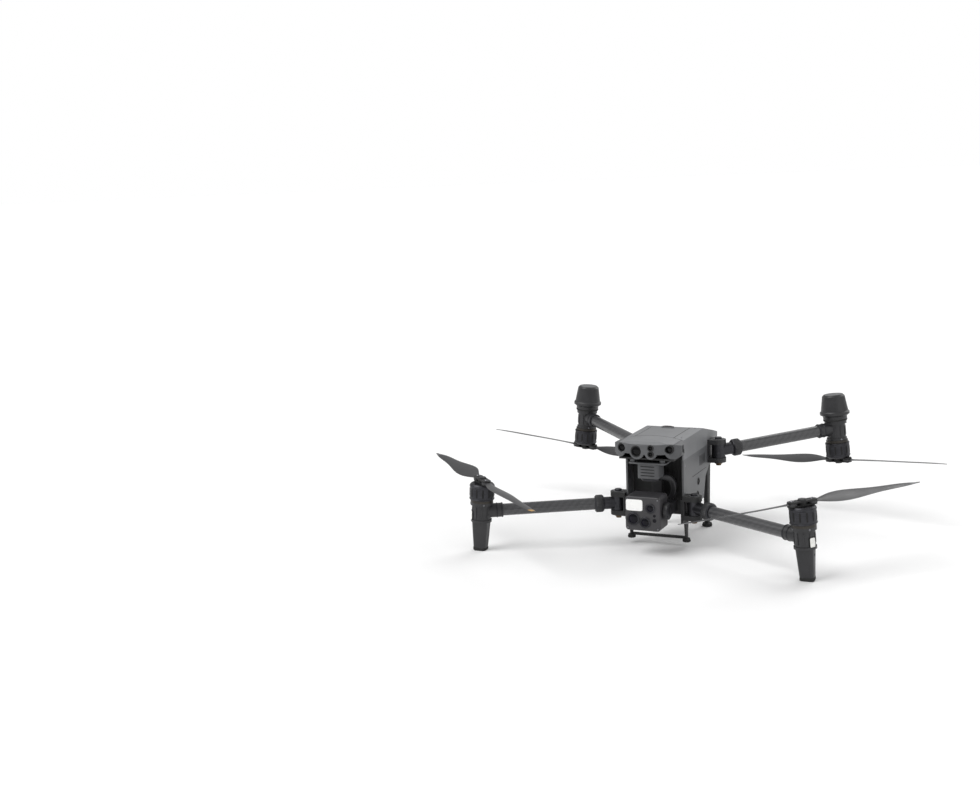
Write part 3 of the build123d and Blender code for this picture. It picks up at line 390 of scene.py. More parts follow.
def makePiece(name, grids, body, material, wrap=False):
    # grids is an array (count, rows, columns, 3) in mm; columns close on themselves, rows too if wrap is set
    count, rows, columns, _ = grids.shape
    index = np.arange(count * rows * columns).reshape(count, rows, columns)
    if wrap:
        index = np.concatenate([index, index[:, :1]], axis=1)
    index = np.concatenate([index, index[:, :, :1]], axis=2)
    quads = np.stack([index[:, :-1, :-1], index[:, 1:, :-1], index[:, 1:, 1:], index[:, :-1, 1:]], axis=-1)
    mesh = bpy.data.meshes.new(name)
    mesh.from_pydata((grids.reshape(-1, 3) * mm).tolist(), [], quads.reshape(-1, 4).tolist())
    shaped = bmesh.new()
    shaped.from_mesh(mesh)
    bmesh.ops.remove_doubles(shaped, verts=shaped.verts, dist=1e-6)
    bmesh.ops.dissolve_degenerate(shaped, edges=shaped.edges, dist=1e-7)
    bmesh.ops.recalc_face_normals(shaped, faces=shaped.faces)
    shaped.to_mesh(mesh)
    shaped.free()
    mesh.polygons.foreach_set("use_smooth", np.ones(len(mesh.polygons), bool))
    mesh.set_sharp_from_angle(angle=math.radians(38))
    mesh.materials.append(material)
    piece = bpy.data.objects.new(name, mesh)
    bpy.context.scene.collection.objects.link(piece)
    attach(piece, body)
    return piece


def signedPower(value, power):
    # |value| to the power, with the sign kept
    return np.sign(value) * np.abs(value) ** power


def pads(places, squareness=5.0, rows=9, columns=28):
    # superellipsoids: x = a c(phi) c(theta), y = b c(phi) s(theta), z = h s(phi), each sine and cosine raised to
    # 2 / squareness with its sign kept; places is a list of (frame, centre in that frame, half sizes)
    power = 2 / squareness
    theta = np.linspace(0, 2 * np.pi, columns, endpoint=False)
    phi = np.linspace(-np.pi / 2, np.pi / 2, rows)
    ring = signedPower(np.cos(phi), power)[:, None]
    unit = np.stack([ring * signedPower(np.cos(theta), power), ring * signedPower(np.sin(theta), power),
                     np.repeat(signedPower(np.sin(phi), power)[:, None], columns, 1)], axis=-1)
    unit[0, :, :2] = unit[-1, :, :2] = 0
    made = [origin + (unit * half + centre) @ rows3 for (origin, rows3), centre, half in places]
    return np.array(made)


def turnedShape(place, profile, columns=64, lobes=0, depth=0.0):
    # a profile of (radius, height) carried round the frame's z axis; lobes wave the radius by depth mm
    r, z = np.array(profile, float).T
    theta = np.linspace(0, 2 * np.pi, columns, endpoint=False)
    wave = depth * np.cos(lobes * theta)[None, :] * (r > 0.01)[:, None]
    radius = r[:, None] + wave
    local = np.stack([radius * np.cos(theta), radius * np.sin(theta), np.repeat(z[:, None], columns, 1)], axis=-1)
    origin, rows3 = place
    return (origin + local @ rows3)[None]


def ringProfile(inner, outer, low, high, edge):
    # the closed cross section of a ring with chamfered corners, as (radius, height)
    return [(inner, low), (outer - edge, low), (outer, low + edge), (outer, high - edge), (outer - edge, high),
            (inner, high)]


def screwAt(place, centre, radius, head):
    # a domed head with a socket: radius and height run out, over the edge and down into the recess
    origin, rows3 = place
    spot = (origin + np.array(centre, float) @ rows3, rows3)
    profile = [(0, 0), (radius, 0), (radius, head * 0.6), (radius * 0.85, head), (radius * 0.5, head),
               (radius * 0.45, head * 0.35), (0, head * 0.3)]
    return turnedShape(spot, profile, columns=18)


# rotor bells and propeller hubs, in heights above the motor's base
rotorDetail = {
    "slots": 12, "slotHalf": (1.5, 7.5, 0.5), "bellRadius": 20.5, "bellMiddle": 17.0,
    "band": (20.3, 21.1), "bandHeight": 1.6, "bandEdge": 0.4, "bandLevels": (5.2, 26.6),
    "hubTop": 39.8, "pivot": 17.0, "bladeScrew": (3.4, 1.6), "capRadii": (6.4, 5.6, 3.2),
    "capRises": (1.2, 2.4, 2.9, 3.0), "capLobes": (6, 0.35),
}
# the collars, ribs and screws along each arm; the ribs and screws stand on the motor mount
armDetail = {
    "sleeve": (27.0, 38.5), "sleeveRadii": (13.3, 14.3), "sleeveEdge": 0.8, "knurls": 36, "knurlDepth": 0.35,
    "clampRadii": (11.6, 12.5), "clampFromTip": (35.4, 27.0), "clampWidth": 2.2, "clampEdge": 0.5,
    "ribs": 10, "ribHalf": (1.1, 1.1, 9.5), "ribLevel": 16.5, "ribRadius": 16.0, "ribFreeAngle": 0.7,
    "mountScrew": (1.6, 0.9), "mountScrewTurns": (0.6, 2.2, 3.8, 5.4),
    "buttonRing": (6.4, 8.2, 19.8, 20.6, 0.3),
}
mountDetail = {  # per end: the mount's base on the tower, and the screws' level above it and radius
    "front": {"base": 50.0, "screwLevel": 31.5, "screwRadius": 18.6},
    "rear": {"base": 137.0, "screwLevel": 2.0, "screwRadius": 17.3},
}
for end, side in arms:
    arm = end + "_" + side
    foot, up, s = towerAxis(end, side)
    motor = motorFrame(end, side)
    slots = []
    for turn in np.arange(rotorDetail["slots"]) * 2 * np.pi / rotorDetail["slots"]:
        out = np.cos(turn) * motor[1][0] + np.sin(turn) * motor[1][1]
        spot = motor[0] + motor[1][2] * rotorDetail["bellMiddle"] + out * rotorDetail["bellRadius"]
        slots.append(((spot, facing(out, np.cross(motor[1][2], out))), (0, 0, 0), rotorDetail["slotHalf"]))
    makePiece(arm + "_bell_vents", pads(slots, 4, 5, 16), arm + "_rotor", finish["recess"])
    inner, outer = rotorDetail["band"]
    bands = [turnedShape(motor, ringProfile(inner, outer, low, low + rotorDetail["bandHeight"],
                                            rotorDetail["bandEdge"]), 72) for low in rotorDetail["bandLevels"]]
    makePiece(arm + "_bell_bands", np.concatenate(bands), arm + "_rotor", finish["anodised"],
              wrap=True)
    blade = bladeFrame(end, side, "a")
    top = rotorDetail["hubTop"]
    pivots = (-rotorDetail["pivot"], rotorDetail["pivot"])
    fittings = [screwAt(blade, (x, 0, top), *rotorDetail["bladeScrew"]) for x in pivots]
    makePiece(arm + "_blade_screws", np.concatenate(fittings), arm + "_propeller", finish["screw"])
    wide, middle, narrow = rotorDetail["capRadii"]
    rises = [top + rise for rise in rotorDetail["capRises"]]
    cap = [(0, top), (wide, top), (wide, rises[0]), (middle, rises[1]), (narrow, rises[2]), (0, rises[3])]
    makePiece(arm + "_hub_cap", turnedShape(blade, cap, 48, *rotorDetail["capLobes"]), arm + "_propeller",
              finish["tower"])
    tube = tubeFrame(end, side)
    sleeve = ringProfile(*armDetail["sleeveRadii"], *armDetail["sleeve"], armDetail["sleeveEdge"])
    makePiece(arm + "_lock_sleeve", turnedShape(tube, sleeve, 288, armDetail["knurls"], armDetail["knurlDepth"]),
              arm + "_arm", finish["tower"], wrap=True)
    tip = foot + up * layout[end]["tubeZ"] / up[2]
    reach = np.linalg.norm(tip - tube[0])
    starts = [reach - back for back in armDetail["clampFromTip"]]
    collars = [turnedShape(tube, ringProfile(*armDetail["clampRadii"], start, start + armDetail["clampWidth"],
                                             armDetail["clampEdge"]), 56) for start in starts]
    makePiece(arm + "_tube_clamps", np.concatenate(collars), arm + "_arm", finish["anodised"],
              wrap=True)
    tower = towerFrame(end, side)
    mount = mountDetail[end]
    inward = (tube[0] - foot) @ tower[1].T
    inwardAngle = math.atan2(inward[1], inward[0])
    halfStep = np.pi / armDetail["ribs"]
    ribs = []
    for turn in np.arange(armDetail["ribs"]) * 2 * halfStep + inwardAngle + halfStep:
        away = abs((turn - inwardAngle + np.pi) % (2 * np.pi) - np.pi)
        if away > armDetail["ribFreeAngle"]:  # no rib where the tube comes in
            out = np.cos(turn) * tower[1][0] + np.sin(turn) * tower[1][1]
            spot = foot + up * (mount["base"] + armDetail["ribLevel"]) + out * armDetail["ribRadius"]
            ribs.append(((spot, facing(up, out)), (0, 0, 0), armDetail["ribHalf"]))
    makePiece(arm + "_mount_ribs", pads(ribs, 5, 7, 14), arm + "_arm", finish["tower"])
    screws = []
    for turn in armDetail["mountScrewTurns"]:
        out = np.cos(turn) * tower[1][0] + np.sin(turn) * tower[1][1]
        spot = foot + up * (mount["base"] + mount["screwLevel"]) + out * mount["screwRadius"]
        screws.append(screwAt((spot, facing(out, up)), (0, 0, 0), *armDetail["mountScrew"]))
    makePiece(arm + "_mount_screws", np.concatenate(screws), arm + "_arm", finish["screw"])
    x, y, z = layout[end]["hinge"]
    buttonPlace = axes((s * x, y, z), (0, 0, 1), (1, 0, 0))
    makePiece(arm + "_button_ring", turnedShape(buttonPlace, ringProfile(*armDetail["buttonRing"]), 48), "airframe",
              finish["key"], wrap=True)
print("arm details made")

# legs: lamp window, slot and rubber sole; towers: a soft band at the seam and a crown on top
legDetail = {
    "lampZ": 61.0, "lampTurn": 35.0, "lampOut": 15.4, "lampHalf": (5.0, 7.5, 2.4), "frameHalf": (6.0, 8.6, 2.4),
    "frameBack": 0.5, "slotZ": 40.0, "slotPush": -0.3, "slotHalf": (4.5, 1.6, 0.5),
    "footHalfWidth": 10.5, "widening": 3.5, "rise": 53.0, "sink": 3.0,
    "soleHalf": (10.7, 9.0), "soleProudShare": 0.6, "soleStations": [(1.2, 0.2), (1.2, 1.0), (4.6, 1.0), (5.4, 0.2)],
}
towerDetail = {
    "band": (19.8, 20.9, 172.0, 174.5, 0.4),
    "crown": [(0, 217.2), (15.0, 217.2), (15.4, 217.6), (15.0, 218.0), (0, 218.05)],
}


def legFace(side, height, push):
    # the outer face of a leg: its half width is footHalfWidth + widening * (height + sink) / rise
    foot, up, _ = towerAxis("front", side)
    outwards = towerFrame("front", side)[1][0]
    width = legDetail["footHalfWidth"] + legDetail["widening"] * (height + legDetail["sink"]) / legDetail["rise"]
    return foot + up * height + outwards * (width + push), facing(outwards, (0, 1, 0))


def soleWall(tower, columns=64):
    # rounded rectangles one above the other: x = a |cos t|^0.4, y = b |sin t|^0.4 with their signs, at each height
    theta = np.linspace(0, 2 * np.pi, columns, endpoint=False)
    shape = np.stack([signedPower(np.cos(theta), 0.4), signedPower(np.sin(theta), 0.4)], axis=-1)
    wall = []
    for height, proud in legDetail["soleStations"]:
        half = np.array(legDetail["soleHalf"]) + proud * legDetail["soleProudShare"]
        wall.append(np.concatenate([shape * half, np.full((columns, 1), height)], axis=1))
    return (tower[0] + np.array(wall) @ tower[1])[None]


for side in ("left", "right"):
    foot, up, _ = towerAxis("front", side)
    tower = towerFrame("front", side)
    arm = f"front_{side}"
    lampTurn = math.radians(legDetail["lampTurn"])
    out = math.cos(lampTurn) * tower[1][0] - math.sin(lampTurn) * np.array([0.0, 1.0, 0.0])
    spot = foot + up * legDetail["lampZ"] + out * legDetail["lampOut"]
    rows = facing(out, np.cross(up, out))
    lamp = [((spot, rows), (0, 0, 0), legDetail["lampHalf"])]
    makePiece(arm + "_leg_lamp", pads(lamp, 6, 9, 40), arm + "_arm", finish["lamp"])
    lampFrame = [((spot - out * legDetail["frameBack"], rows), (0, 0, 0), legDetail["frameHalf"])]
    makePiece(arm + "_lamp_frame", pads(lampFrame, 6, 7, 40), arm + "_arm", finish["recess"])
    slot = [(legFace(side, legDetail["slotZ"], legDetail["slotPush"]), (0, 0, 0), legDetail["slotHalf"])]
    makePiece(arm + "_leg_slot", pads(slot, 6), arm + "_arm", finish["recess"])
    makePiece(arm + "_sole", soleWall(tower), arm + "_arm", finish["rubber"], wrap=True)
    arm = f"rear_{side}"
    tower = towerFrame("rear", side)
    band = turnedShape(tower, ringProfile(*towerDetail["band"]), 72)
    makePiece(arm + "_tower_band", band, arm + "_arm", finish["rubber"], wrap=True)
    makePiece(arm + "_tower_crown", turnedShape(tower, towerDetail["crown"], 64), arm + "_arm", finish["panel"])
print("tower details made")

# body: seams, vents and screws that follow the roof, a beacon and a ring; vents, screws and seams on the sides
roofShape = {"crown": 189.0, "drop": 9.0, "edge": 62.0,
             "side": [(-119, 183), (-108, 187.5), (-94, 189), (11, 189), (41, 184), (147, 158)]}
coverDetail = {
    "seams": [((-33, -64), (-33, 142)), ((33, -64), (33, 142)), ((-33, 44), (33, 44)), ((-48, -64.6), (48, -64.6))],
    "seamWidth": 0.8, "seamLift": 0.08, "ventX": 15.0, "ventY": 62, "ventStep": 8, "ventRows": 5,
    "ventHalf": (11, 1.5, 0.35), "ventSlope": (0, 26, 106),
    "screws": [(-42, -52), (42, -52), (-40, 30), (40, 30), (-38, 134), (38, 134)],
    "screw": (2.2, 0.9), "screwSink": 0.5, "beaconAt": (0.0, 7.0, 190.6), "beaconHalf": (9.5, 3.4, 1.6),
    "powerAt": (0.0, 122.0, 163.0), "powerRing": (7.4, 9.4, -1.0, 2.2, 0.5),
}
panelDetail = {
    "faceX": 50.05, "ventY": 24, "ventStep": 6.5, "ventCount": 5, "ventZ": 131.0, "ventHalf": (1.2, 9.0, 0.3),
    "screws": ((-58, 140), (96, 143), (-55, 92), (40, 70)), "screwX": 49.6, "screw": (2.0, 0.8),
    "seamAt": (20.0, 112.0), "seamHalf": (40, 0.35, 0.2),
    "sensors": ((14.0, 97.4), (9.0, 76.0)), "sensorX": 50.0, "sensorRing": (4.8, 6.4, -1.0, 0.6, 0.4),
}
upwards = facing((0, 0, 1), (1, 0, 0))
ahead = facing((0, -1, 0), (1, 0, 0))
leftwards = facing((1, 0, 0), (0, 1, 0))


def roofZ(x, y):
    # the lower of the crown's arc across and the side line along
    bend = (roofShape["edge"] ** 2 + roofShape["drop"] ** 2) / (2 * roofShape["drop"])
    across = roofShape["crown"] - bend + np.sqrt(bend ** 2 - x ** 2)
    sideY, sideZ = np.array(roofShape["side"], float).T
    return np.minimum(across, np.interp(y, sideY, sideZ))


def roofLine(start, end, width, lift, count=60):
    # a strip along the roof: its four corners follow the roof's height, lifted by a little and sunk underneath
    t = np.linspace(0, 1, count)[:, None]
    path = np.array(start, float) * (1 - t) + np.array(end, float) * t
    along = np.array(end, float) - np.array(start, float)
    sideways = np.array([-along[1], along[0]]) / np.linalg.norm(along) * width / 2
    corners = []
    for k, height in ((-1, -0.6), (-1, lift), (1, lift), (1, -0.6)):
        spot = path + k * sideways
        corners.append(np.stack([spot[:, 0], spot[:, 1], roofZ(spot[:, 0], spot[:, 1]) + height], axis=-1))
    strip = np.stack(corners, axis=1)
    middleStart = np.repeat(strip[:1].mean(axis=1, keepdims=True), 4, axis=1)
    middleEnd = np.repeat(strip[-1:].mean(axis=1, keepdims=True), 4, axis=1)
    return np.concatenate([middleStart, strip, middleEnd])[None]


seams = [roofLine(start, end, coverDetail["seamWidth"], coverDetail["seamLift"]) for start, end in coverDetail["seams"]]
makePiece("cover_seams", np.concatenate(seams), "airframe", finish["recess"])
slope = facing(coverDetail["ventSlope"], (1, 0, 0))
vents = []
for row in range(coverDetail["ventRows"]):
    for s in (-1, 1):
        y = coverDetail["ventY"] + coverDetail["ventStep"] * row
        spot = np.array([s * coverDetail["ventX"], y, float(roofZ(0, y))])
        vents.append(((spot, slope), (0, 0, 0), coverDetail["ventHalf"]))
makePiece("cover_vents", pads(vents, 5, 5, 24), "airframe", finish["recess"])
coverScrews = []
for x, y in coverDetail["screws"]:
    spot = np.array([x, y, float(roofZ(x, y)) - coverDetail["screwSink"]])
    coverScrews.append(screwAt((spot, upwards), (0, 0, 0), *coverDetail["screw"]))
makePiece("cover_screws", np.concatenate(coverScrews), "airframe", finish["screw"])
beacon = [((np.array(coverDetail["beaconAt"]), upwards), (0, 0, 0), coverDetail["beaconHalf"])]
makePiece("beacon_lens", pads(beacon, 2.6, 13, 40), "airframe", finish["smoke"])
powerPlace = (np.array(coverDetail["powerAt"]), upwards)
makePiece("power_ring", turnedShape(powerPlace, ringProfile(*coverDetail["powerRing"]), 56), "airframe",
          finish["nose"], wrap=True)

panelVents, panelScrews, panelSeams = [], [], []
for s in (-1, 1):
    rows = facing((s, 0, 0), (0, 1, 0))
    for k in range(panelDetail["ventCount"]):
        y = panelDetail["ventY"] + panelDetail["ventStep"] * k
        spot = np.array([s * panelDetail["faceX"], y, panelDetail["ventZ"]])
        panelVents.append(((spot, rows), (0, 0, 0), panelDetail["ventHalf"]))
    for y, z in panelDetail["screws"]:
        spot = np.array([s * panelDetail["screwX"], y, z])
        panelScrews.append(screwAt((spot, rows), (0, 0, 0), *panelDetail["screw"]))
    spot = np.array([s * panelDetail["faceX"], *panelDetail["seamAt"]])
    panelSeams.append(((spot, rows), (0, 0, 0), panelDetail["seamHalf"]))
makePiece("panel_vents", pads(panelVents, 5, 5, 20), "airframe", finish["recess"])
makePiece("panel_screws", np.concatenate(panelScrews), "airframe", finish["screw"])
makePiece("panel_seams", pads(panelSeams, 6, 5, 24), "airframe", finish["recess"])
print("body details made")

# nose: rings round the sensors, a bulged glass in each, and the slots on its left cheek
noseDetail = {
    "sensors": [(-40, 176, 6.3), (40, 176, 6.3), (-12, 173, 8.2), (12, 169, 3.9), (12, 179, 3.9)],
    "faceY": -120.0, "faceBack": 24.0, "halfWidth": 57.0, "ringInner": -0.3, "ringOuter": 1.5,
    "ringFrom": -3.2, "ringTo": 0.9, "ringEdge": 0.5,
    "bulge": [(0.3, 0.1), (0.55, -0.25), (0.75, -0.8), (0.9, -1.5)],  # shares of the radius, and heights
    "slots": [((57.0, -89.5, 175.0), (2.2, 5.5, 0.4)), ((57.0, -84.8, 170.0), (1.2, 3.4, 0.4))],
}
rings, domes = [], []
for x, z, radius in noseDetail["sensors"]:
    faceY = noseDetail["faceY"] + noseDetail["faceBack"] * (x / noseDetail["halfWidth"]) ** 2
    place = (np.array([x, faceY, z], float), ahead)
    ring = ringProfile(radius + noseDetail["ringInner"], radius + noseDetail["ringOuter"], noseDetail["ringFrom"],
                       noseDetail["ringTo"], noseDetail["ringEdge"])
    rings.append(turnedShape(place, ring, 64))
    bulge = [(radius * share, height) for share, height in noseDetail["bulge"]]
    domes.append(turnedShape(place, [(0, 0.2)] + bulge + [(radius - 0.2, -2.0), (0, -2.2)], 48))
makePiece("sensor_rings", np.concatenate(rings), "airframe", finish["frame"], wrap=True)
makePiece("sensor_domes", np.concatenate(domes), "airframe", finish["sensor"])
noseSlots = [((np.array(at), leftwards), (0, 0, 0), half) for at, half in noseDetail["slots"]]
makePiece("nose_slots", pads(noseSlots, 5), "airframe", finish["recess"])
sideRings = []
for s in (-1, 1):
    for y, z in panelDetail["sensors"]:
        place = (np.array([s * panelDetail["sensorX"], y, z]), facing((s, 0, 0), (0, 1, 0)))
        sideRings.append(turnedShape(place, ringProfile(*panelDetail["sensorRing"]), 48))
makePiece("side_sensor_rings", np.concatenate(sideRings), "airframe", finish["frame"], wrap=True)

# camera: stepped lens barrels and domes, a range window, cooling fins, vents and screws
cameraDetail = {
    "frontY": -129.0, "windows": [(-16.0, 63.0, 9.5), (4.0, 58.0, 8.0), (13.0, 82.0, 7.0)],
    "barrel": [(1.4, -1.0), (1.4, 1.0), (0.9, 1.5), (-0.4, 1.5), (-0.8, 0.6), (-1.6, 0.5), (-1.8, -0.4), (-1.8, -0.8)],
    "bulge": [(0.25, 0.8), (0.5, 0.5), (0.7, 0.0)],  # shares of the radius, and heights
    "rangeAt": (-14.0, -129.0, 86.0), "rangeHalf": (14.2, 9.4, 0.7), "rangeLift": 0.1,
    "finCount": 7, "finAt": (-29.4, -108.0, 52.0), "finStep": 6.6, "finHalf": (14.0, 1.0, 1.3),
    "ventAt": (-88.1, 91.0), "ventReach": 20, "ventStep": 5, "ventHalf": (1.2, 4.5, 0.5),
    "screws": ((-25.5, 96), (25.5, 96), (-25.5, 48), (25.5, 48)), "screwY": -128.9, "screw": (1.3, 0.7),
}
gimbalDetail = {
    "tiltCapAt": (37.4, -106.0, 74.0),
    "tiltCap": [(0, 0), (12.6, 0), (12.6, 0.8), (11.4, 1.6), (5.0, 1.6), (4.4, 1.0), (0, 0.9)],
    "rollRingAt": (0.0, -57.0, 74.0), "rollRing": (12.6, 13.7, 0.6, 5.2, 0.5),
    "yawRingAt": (0.0, -84.0, 119.0), "yawRing": (14.8, 15.9, 0.6, 4.0, 0.5),
    "grooves": 4, "grooveAt": (0, -101.0, 129.0), "grooveStep": 5, "grooveHalf": (12.0, 0.7, 0.3),
    "shellPath": [(4, -74, 121), (22, -68, 121), (30, -62, 112), (30, -58, 96), (22, -56, 82), (6, -55, 76)],
    "shellWidths": (9, 10, 11, 10, 9), "shellHeights": (9, 10, 9, 8, 7),
    "bayRibX": (-42, 43, 7), "bayRibAt": (-40.0, 128.0), "bayRibHalf": (0.8, 20.0, 1.2),
}
barrels, glasses = [], []
for x, z, radius in cameraDetail["windows"]:
    place = (np.array([x, cameraDetail["frontY"], z], float), ahead)
    barrels.append(turnedShape(place, [(radius + out, height) for out, height in cameraDetail["barrel"]], 72))
    bulge = [(radius * share, height) for share, height in cameraDetail["bulge"]]
    glasses.append(turnedShape(place, [(0, 0.9)] + bulge + [(radius - 1.7, -0.5), (0, -0.9)], 56))
makePiece("lens_barrels", np.concatenate(barrels), "camera", finish["anodised"], wrap=True)
makePiece("lens_domes", np.concatenate(glasses), "camera", finish["lens"])
rangePlace = (np.array(cameraDetail["rangeAt"]), ahead)
rangeWindow = [(rangePlace, (0, 0, cameraDetail["rangeLift"]), cameraDetail["rangeHalf"])]
makePiece("range_window", pads(rangeWindow, 8, 9, 48), "camera", finish["window"])
finX, finY, finZ = cameraDetail["finAt"]
fins = [((np.array([finX, finY, finZ + cameraDetail["finStep"] * k]), facing((-1, 0, 0), (0, 1, 0))), (0, 0, 0),
         cameraDetail["finHalf"]) for k in range(cameraDetail["finCount"])]
makePiece("camera_fins", pads(fins, 6, 7, 24), "camera", finish["camera"])
reach, step = cameraDetail["ventReach"], cameraDetail["ventStep"]
backVents = [((np.array([x, *cameraDetail["ventAt"]]), facing((0, 1, 0), (1, 0, 0))), (0, 0, 0),
              cameraDetail["ventHalf"]) for x in range(-reach, reach + 1, step)]
makePiece("camera_vents", pads(backVents, 5, 5, 16), "camera", finish["recess"])
cameraScrews = [screwAt((np.array([x, cameraDetail["screwY"], z]), ahead), (0, 0, 0), *cameraDetail["screw"])
                for x, z in cameraDetail["screws"]]
makePiece("camera_screws", np.concatenate(cameraScrews), "camera", finish["screw"])

# gimbal: a motor cap, two rings, and grooves across the yaw block
tiltCap = turnedShape((np.array(gimbalDetail["tiltCapAt"]), leftwards), gimbalDetail["tiltCap"], 64)
makePiece("tilt_motor_cap", tiltCap, "gimbal_roll", finish["anodised"])
rollRing = turnedShape((np.array(gimbalDetail["rollRingAt"]), ahead), ringProfile(*gimbalDetail["rollRing"]), 64)
makePiece("roll_motor_ring", rollRing, "gimbal_yaw", finish["anodised"], wrap=True)
yawRing = turnedShape((np.array(gimbalDetail["yawRingAt"]), upwards), ringProfile(*gimbalDetail["yawRing"]), 64)
makePiece("yaw_motor_ring", yawRing, "gimbal_yaw", finish["anodised"], wrap=True)
grooveX, grooveY, grooveZ = gimbalDetail["grooveAt"]
grooves = [((np.array([grooveX, grooveY, grooveZ + gimbalDetail["grooveStep"] * k]), ahead), (0, 0, 0),
            gimbalDetail["grooveHalf"]) for k in range(gimbalDetail["grooves"])]
makePiece("yaw_block_grooves", pads(grooves, 5, 5, 20), "airframe", finish["recess"])


def smoothPath(points, count):
    # Catmull-Rom through the points: each span is the usual cubic of its four neighbours
    p = np.array(points, float)
    p = np.concatenate([2 * p[:1] - p[1:2], p, 2 * p[-1:] - p[-2:-1]])
    t = np.linspace(0, len(p) - 3 - 1e-9, count)
    k = t.astype(int)
    f = (t - k)[:, None]
    a, b, c, d = p[k], p[k + 1], p[k + 2], p[k + 3]
    return 0.5 * (2 * b + (c - a) * f + (2 * a - 5 * b + 4 * c - d) * f ** 2 + (3 * b - a - 3 * c + d) * f ** 3)


def carried(points, widths, heights, count=60, columns=32, squareness=3.2, flatwise=(0, 1, 0)):
    # a rounded-rectangle section carried along a smooth path; its width and height run from end to end
    path = smoothPath(points, count)
    along = np.gradient(path, axis=0)
    along /= np.linalg.norm(along, axis=1)[:, None]
    side = np.cross(along, flatwise)
    side /= np.linalg.norm(side, axis=1)[:, None]
    over = np.cross(side, along)
    theta = np.linspace(0, 2 * np.pi, columns, endpoint=False)
    t = np.linspace(0, 1, count)
    share = np.sqrt(np.clip(1 - np.clip(np.abs(t - 0.5) * 2 - 0.9, 0, None) ** 2 / 0.01, 0, 1))
    w = np.interp(t, np.linspace(0, 1, len(widths)), widths) / 2 * share
    h = np.interp(t, np.linspace(0, 1, len(heights)), heights) / 2 * share
    c, d = signedPower(np.cos(theta), 2 / squareness), signedPower(np.sin(theta), 2 / squareness)
    grid = path[:, None] + side[:, None] * (w[:, None] * c)[..., None] + over[:, None] * (h[:, None] * d)[..., None]
    return grid[None]


shell = carried(gimbalDetail["shellPath"], gimbalDetail["shellWidths"], gimbalDetail["shellHeights"])
makePiece("gimbal_arm_shell", shell, "gimbal_yaw", finish["tower"])
bayRibs = [((np.array([x, *gimbalDetail["bayRibAt"]]), ahead), (0, 0, 0), gimbalDetail["bayRibHalf"])
           for x in range(*gimbalDetail["bayRibX"])]
makePiece("bay_ribs", pads(bayRibs, 6, 5, 16), "airframe", finish["frame"])
print("camera details made")

# batteries: charge lamps and a grip; feet: rubber pads
batteryDetail = {"middle": 22.0, "backY": 150.0, "lamps": (-9, -3, 3, 9), "lampZ": 122.5, "lampHalf": (2.2, 1.0, 0.35),
                 "gripLevels": (127.0, 129.4, 131.8), "gripHalf": (12.0, 0.6, 0.5)}
feetDetail = [  # where each foot stands on the left side, and its ring
    {"at": (42.0, 88.0, 0.0), "ring": (7.8, 8.7, 0.3, 4.2, 0.6)},
    {"at": (48.0, -50.0, 9.0), "ring": (5.8, 6.7, 0.2, 4.2, 0.6)},
]
behind = facing((0, 1, 0), (-1, 0, 0))
backY = batteryDetail["backY"]
for side, s in (("left", 1), ("right", -1)):
    middle = s * batteryDetail["middle"]
    lamps = [((np.array([middle + x, backY, batteryDetail["lampZ"]]), behind), (0, 0, 0), batteryDetail["lampHalf"])
             for x in batteryDetail["lamps"]]
    makePiece(side + "_charge_lamps", pads(lamps, 5, 5, 16), side + "_battery_pack", finish["lamp"])
    grip = [((np.array([middle, backY, z]), behind), (0, 0, 0), batteryDetail["gripHalf"])
            for z in batteryDetail["gripLevels"]]
    makePiece(side + "_battery_grip", pads(grip, 5, 5, 24), side + "_battery_pack", finish["battery"])
feet = []
for s in (-1, 1):
    for each in feetDetail:
        x, y, z = each["at"]
        feet.append(turnedShape((np.array([s * x, y, z]), upwards), ringProfile(*each["ring"]), 48))
makePiece("foot_pads", np.concatenate(feet), "airframe", finish["rubber"], wrap=True)

studio = {"floorRadius": 60.0, "floorDrop": 0.0004, "floorSides": 96, "seen": 1.0, "light": 0.5,
          "paper": ("#F3F3F3", "#F8F8F8")}
# a disc: radius and turn, as rings of points on the ground
sides = studio["floorSides"]
turn = np.linspace(0, 2 * np.pi, sides, endpoint=False)
radii = np.array([0.001, 1.0, 4.0, 15.0, studio["floorRadius"]])[:, None]
flat = np.full((len(radii), sides), -studio["floorDrop"])
disc = np.stack([radii * np.cos(turn), radii * np.sin(turn), flat], axis=-1)
index = np.arange(disc.shape[0] * sides).reshape(-1, sides)
index = np.concatenate([index, index[:, :1]], axis=1)
quads = np.stack([index[:-1, :-1], index[1:, :-1], index[1:, 1:], index[:-1, 1:]], axis=-1).reshape(-1, 4)
floorMesh = bpy.data.meshes.new("studio_floor")
floorMesh.from_pydata(disc.reshape(-1, 3).tolist(), [], quads.tolist() + [list(range(sides))])
paper, tree, shader = startMaterial("studio paper")
shade = noise(tree, ownCoordinates(tree, None), 400, 2)
tone = blended(tree, ranged(tree, shade, 0.3, 0.7, 0, 1), *[linear(colour) for colour in studio["paper"]])
tree.links.new(tone, shader.inputs["Base Color"])
shader.inputs["Roughness"].default_value = 0.9
floorMesh.materials.append(paper)
floor = bpy.data.objects.new("studio_floor", floorMesh)
bpy.context.scene.collection.objects.link(floor)

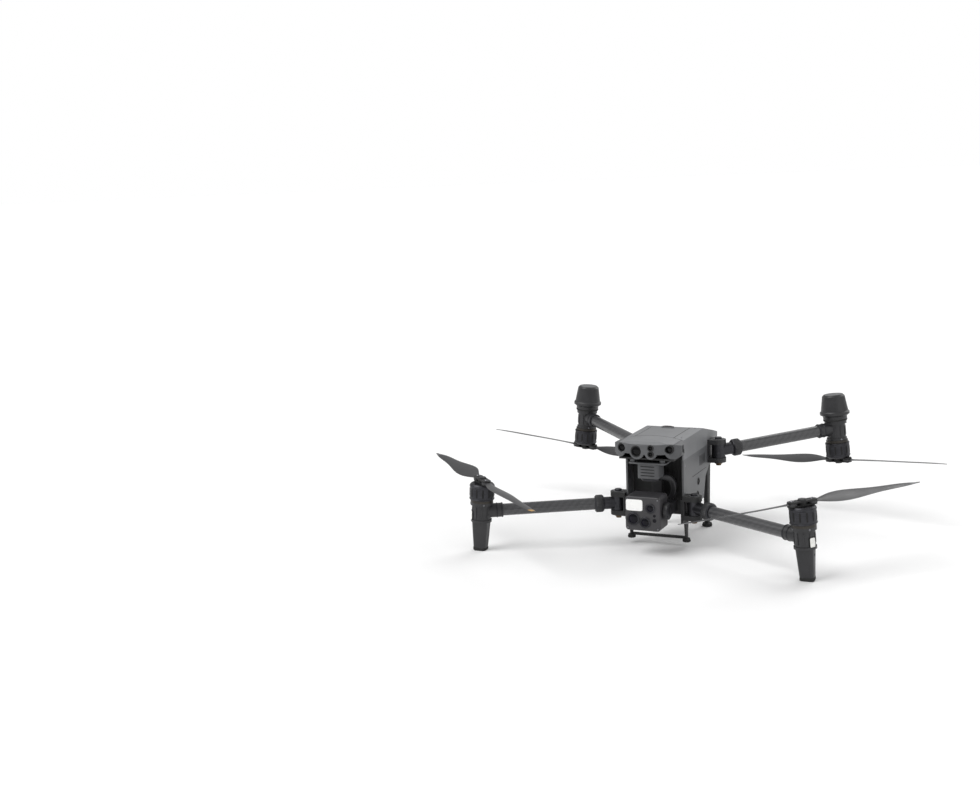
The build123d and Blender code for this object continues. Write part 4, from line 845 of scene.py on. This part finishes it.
world = bpy.data.worlds.new("studio")
world.use_nodes = True
sky = world.node_tree
sky.nodes.clear()
skyOut = addNode(sky, "ShaderNodeOutputWorld", {}, {})
rays = addNode(sky, "ShaderNodeLightPath", {}, {}).outputs["Is Camera Ray"]
strength = ranged(sky, rays, 0, 1, studio["light"], studio["seen"])
backdrop = addNode(sky, "ShaderNodeBackground", {}, {"Color": (1, 1, 1, 1), "Strength": strength})
sky.links.new(backdrop.outputs[0], skyOut.inputs[0])
bpy.context.scene.world = world
bpy.context.scene.view_settings.view_transform = "Standard"

# soft boxes far away, as suns with a wide angle, so that the floor is lit evenly
lamps = {
    "key": {"from": (-0.9, -0.8, 1.5), "spread": 40, "strength": 1.7},
    "fill": {"from": (1.3, -0.5, 0.9), "spread": 60, "strength": 0.5},
    "back": {"from": (0.3, 1.4, 1.1), "spread": 40, "strength": 0.9},
}
for name, lamp in lamps.items():
    light = bpy.data.lights.new(name, "SUN")
    light.angle = math.radians(lamp["spread"])
    light.energy = lamp["strength"]
    made = bpy.data.objects.new(name, light)
    made.location = lamp["from"]
    made.rotation_euler = (-made.location).to_track_quat("-Z", "Y").to_euler()
    bpy.context.scene.collection.objects.link(made)

# the camera looks along its azimuth and elevation, then rolls about its own axis
cameraSettings = {"at": (0.71808, -2.1449, 0.62841), "azimuth": 26.02, "elevation": 9.59, "roll": -2.32, "lens": 49.73}
azimuth, elevation, roll = (math.radians(cameraSettings[k]) for k in ("azimuth", "elevation", "roll"))
forward = np.array([-math.sin(azimuth) * math.cos(elevation), math.cos(azimuth) * math.cos(elevation),
                    -math.sin(elevation)])
right = np.cross(forward, (0, 0, 1))
right /= np.linalg.norm(right)
upward = np.cross(right, forward)
rolledRight = right * math.cos(roll) + upward * math.sin(roll)
rolledUp = -right * math.sin(roll) + upward * math.cos(roll)
camera = bpy.data.objects.new("camera", bpy.data.cameras.new("camera"))
camera.data.lens = cameraSettings["lens"]
camera.data.sensor_width = 36
aimed = Matrix(np.array([rolledRight, rolledUp, -forward]).T.tolist()).to_4x4()
camera.matrix_world = Matrix.Translation(cameraSettings["at"]) @ aimed
bpy.context.scene.collection.objects.link(camera)
bpy.context.scene.camera = camera

print("scene ready")
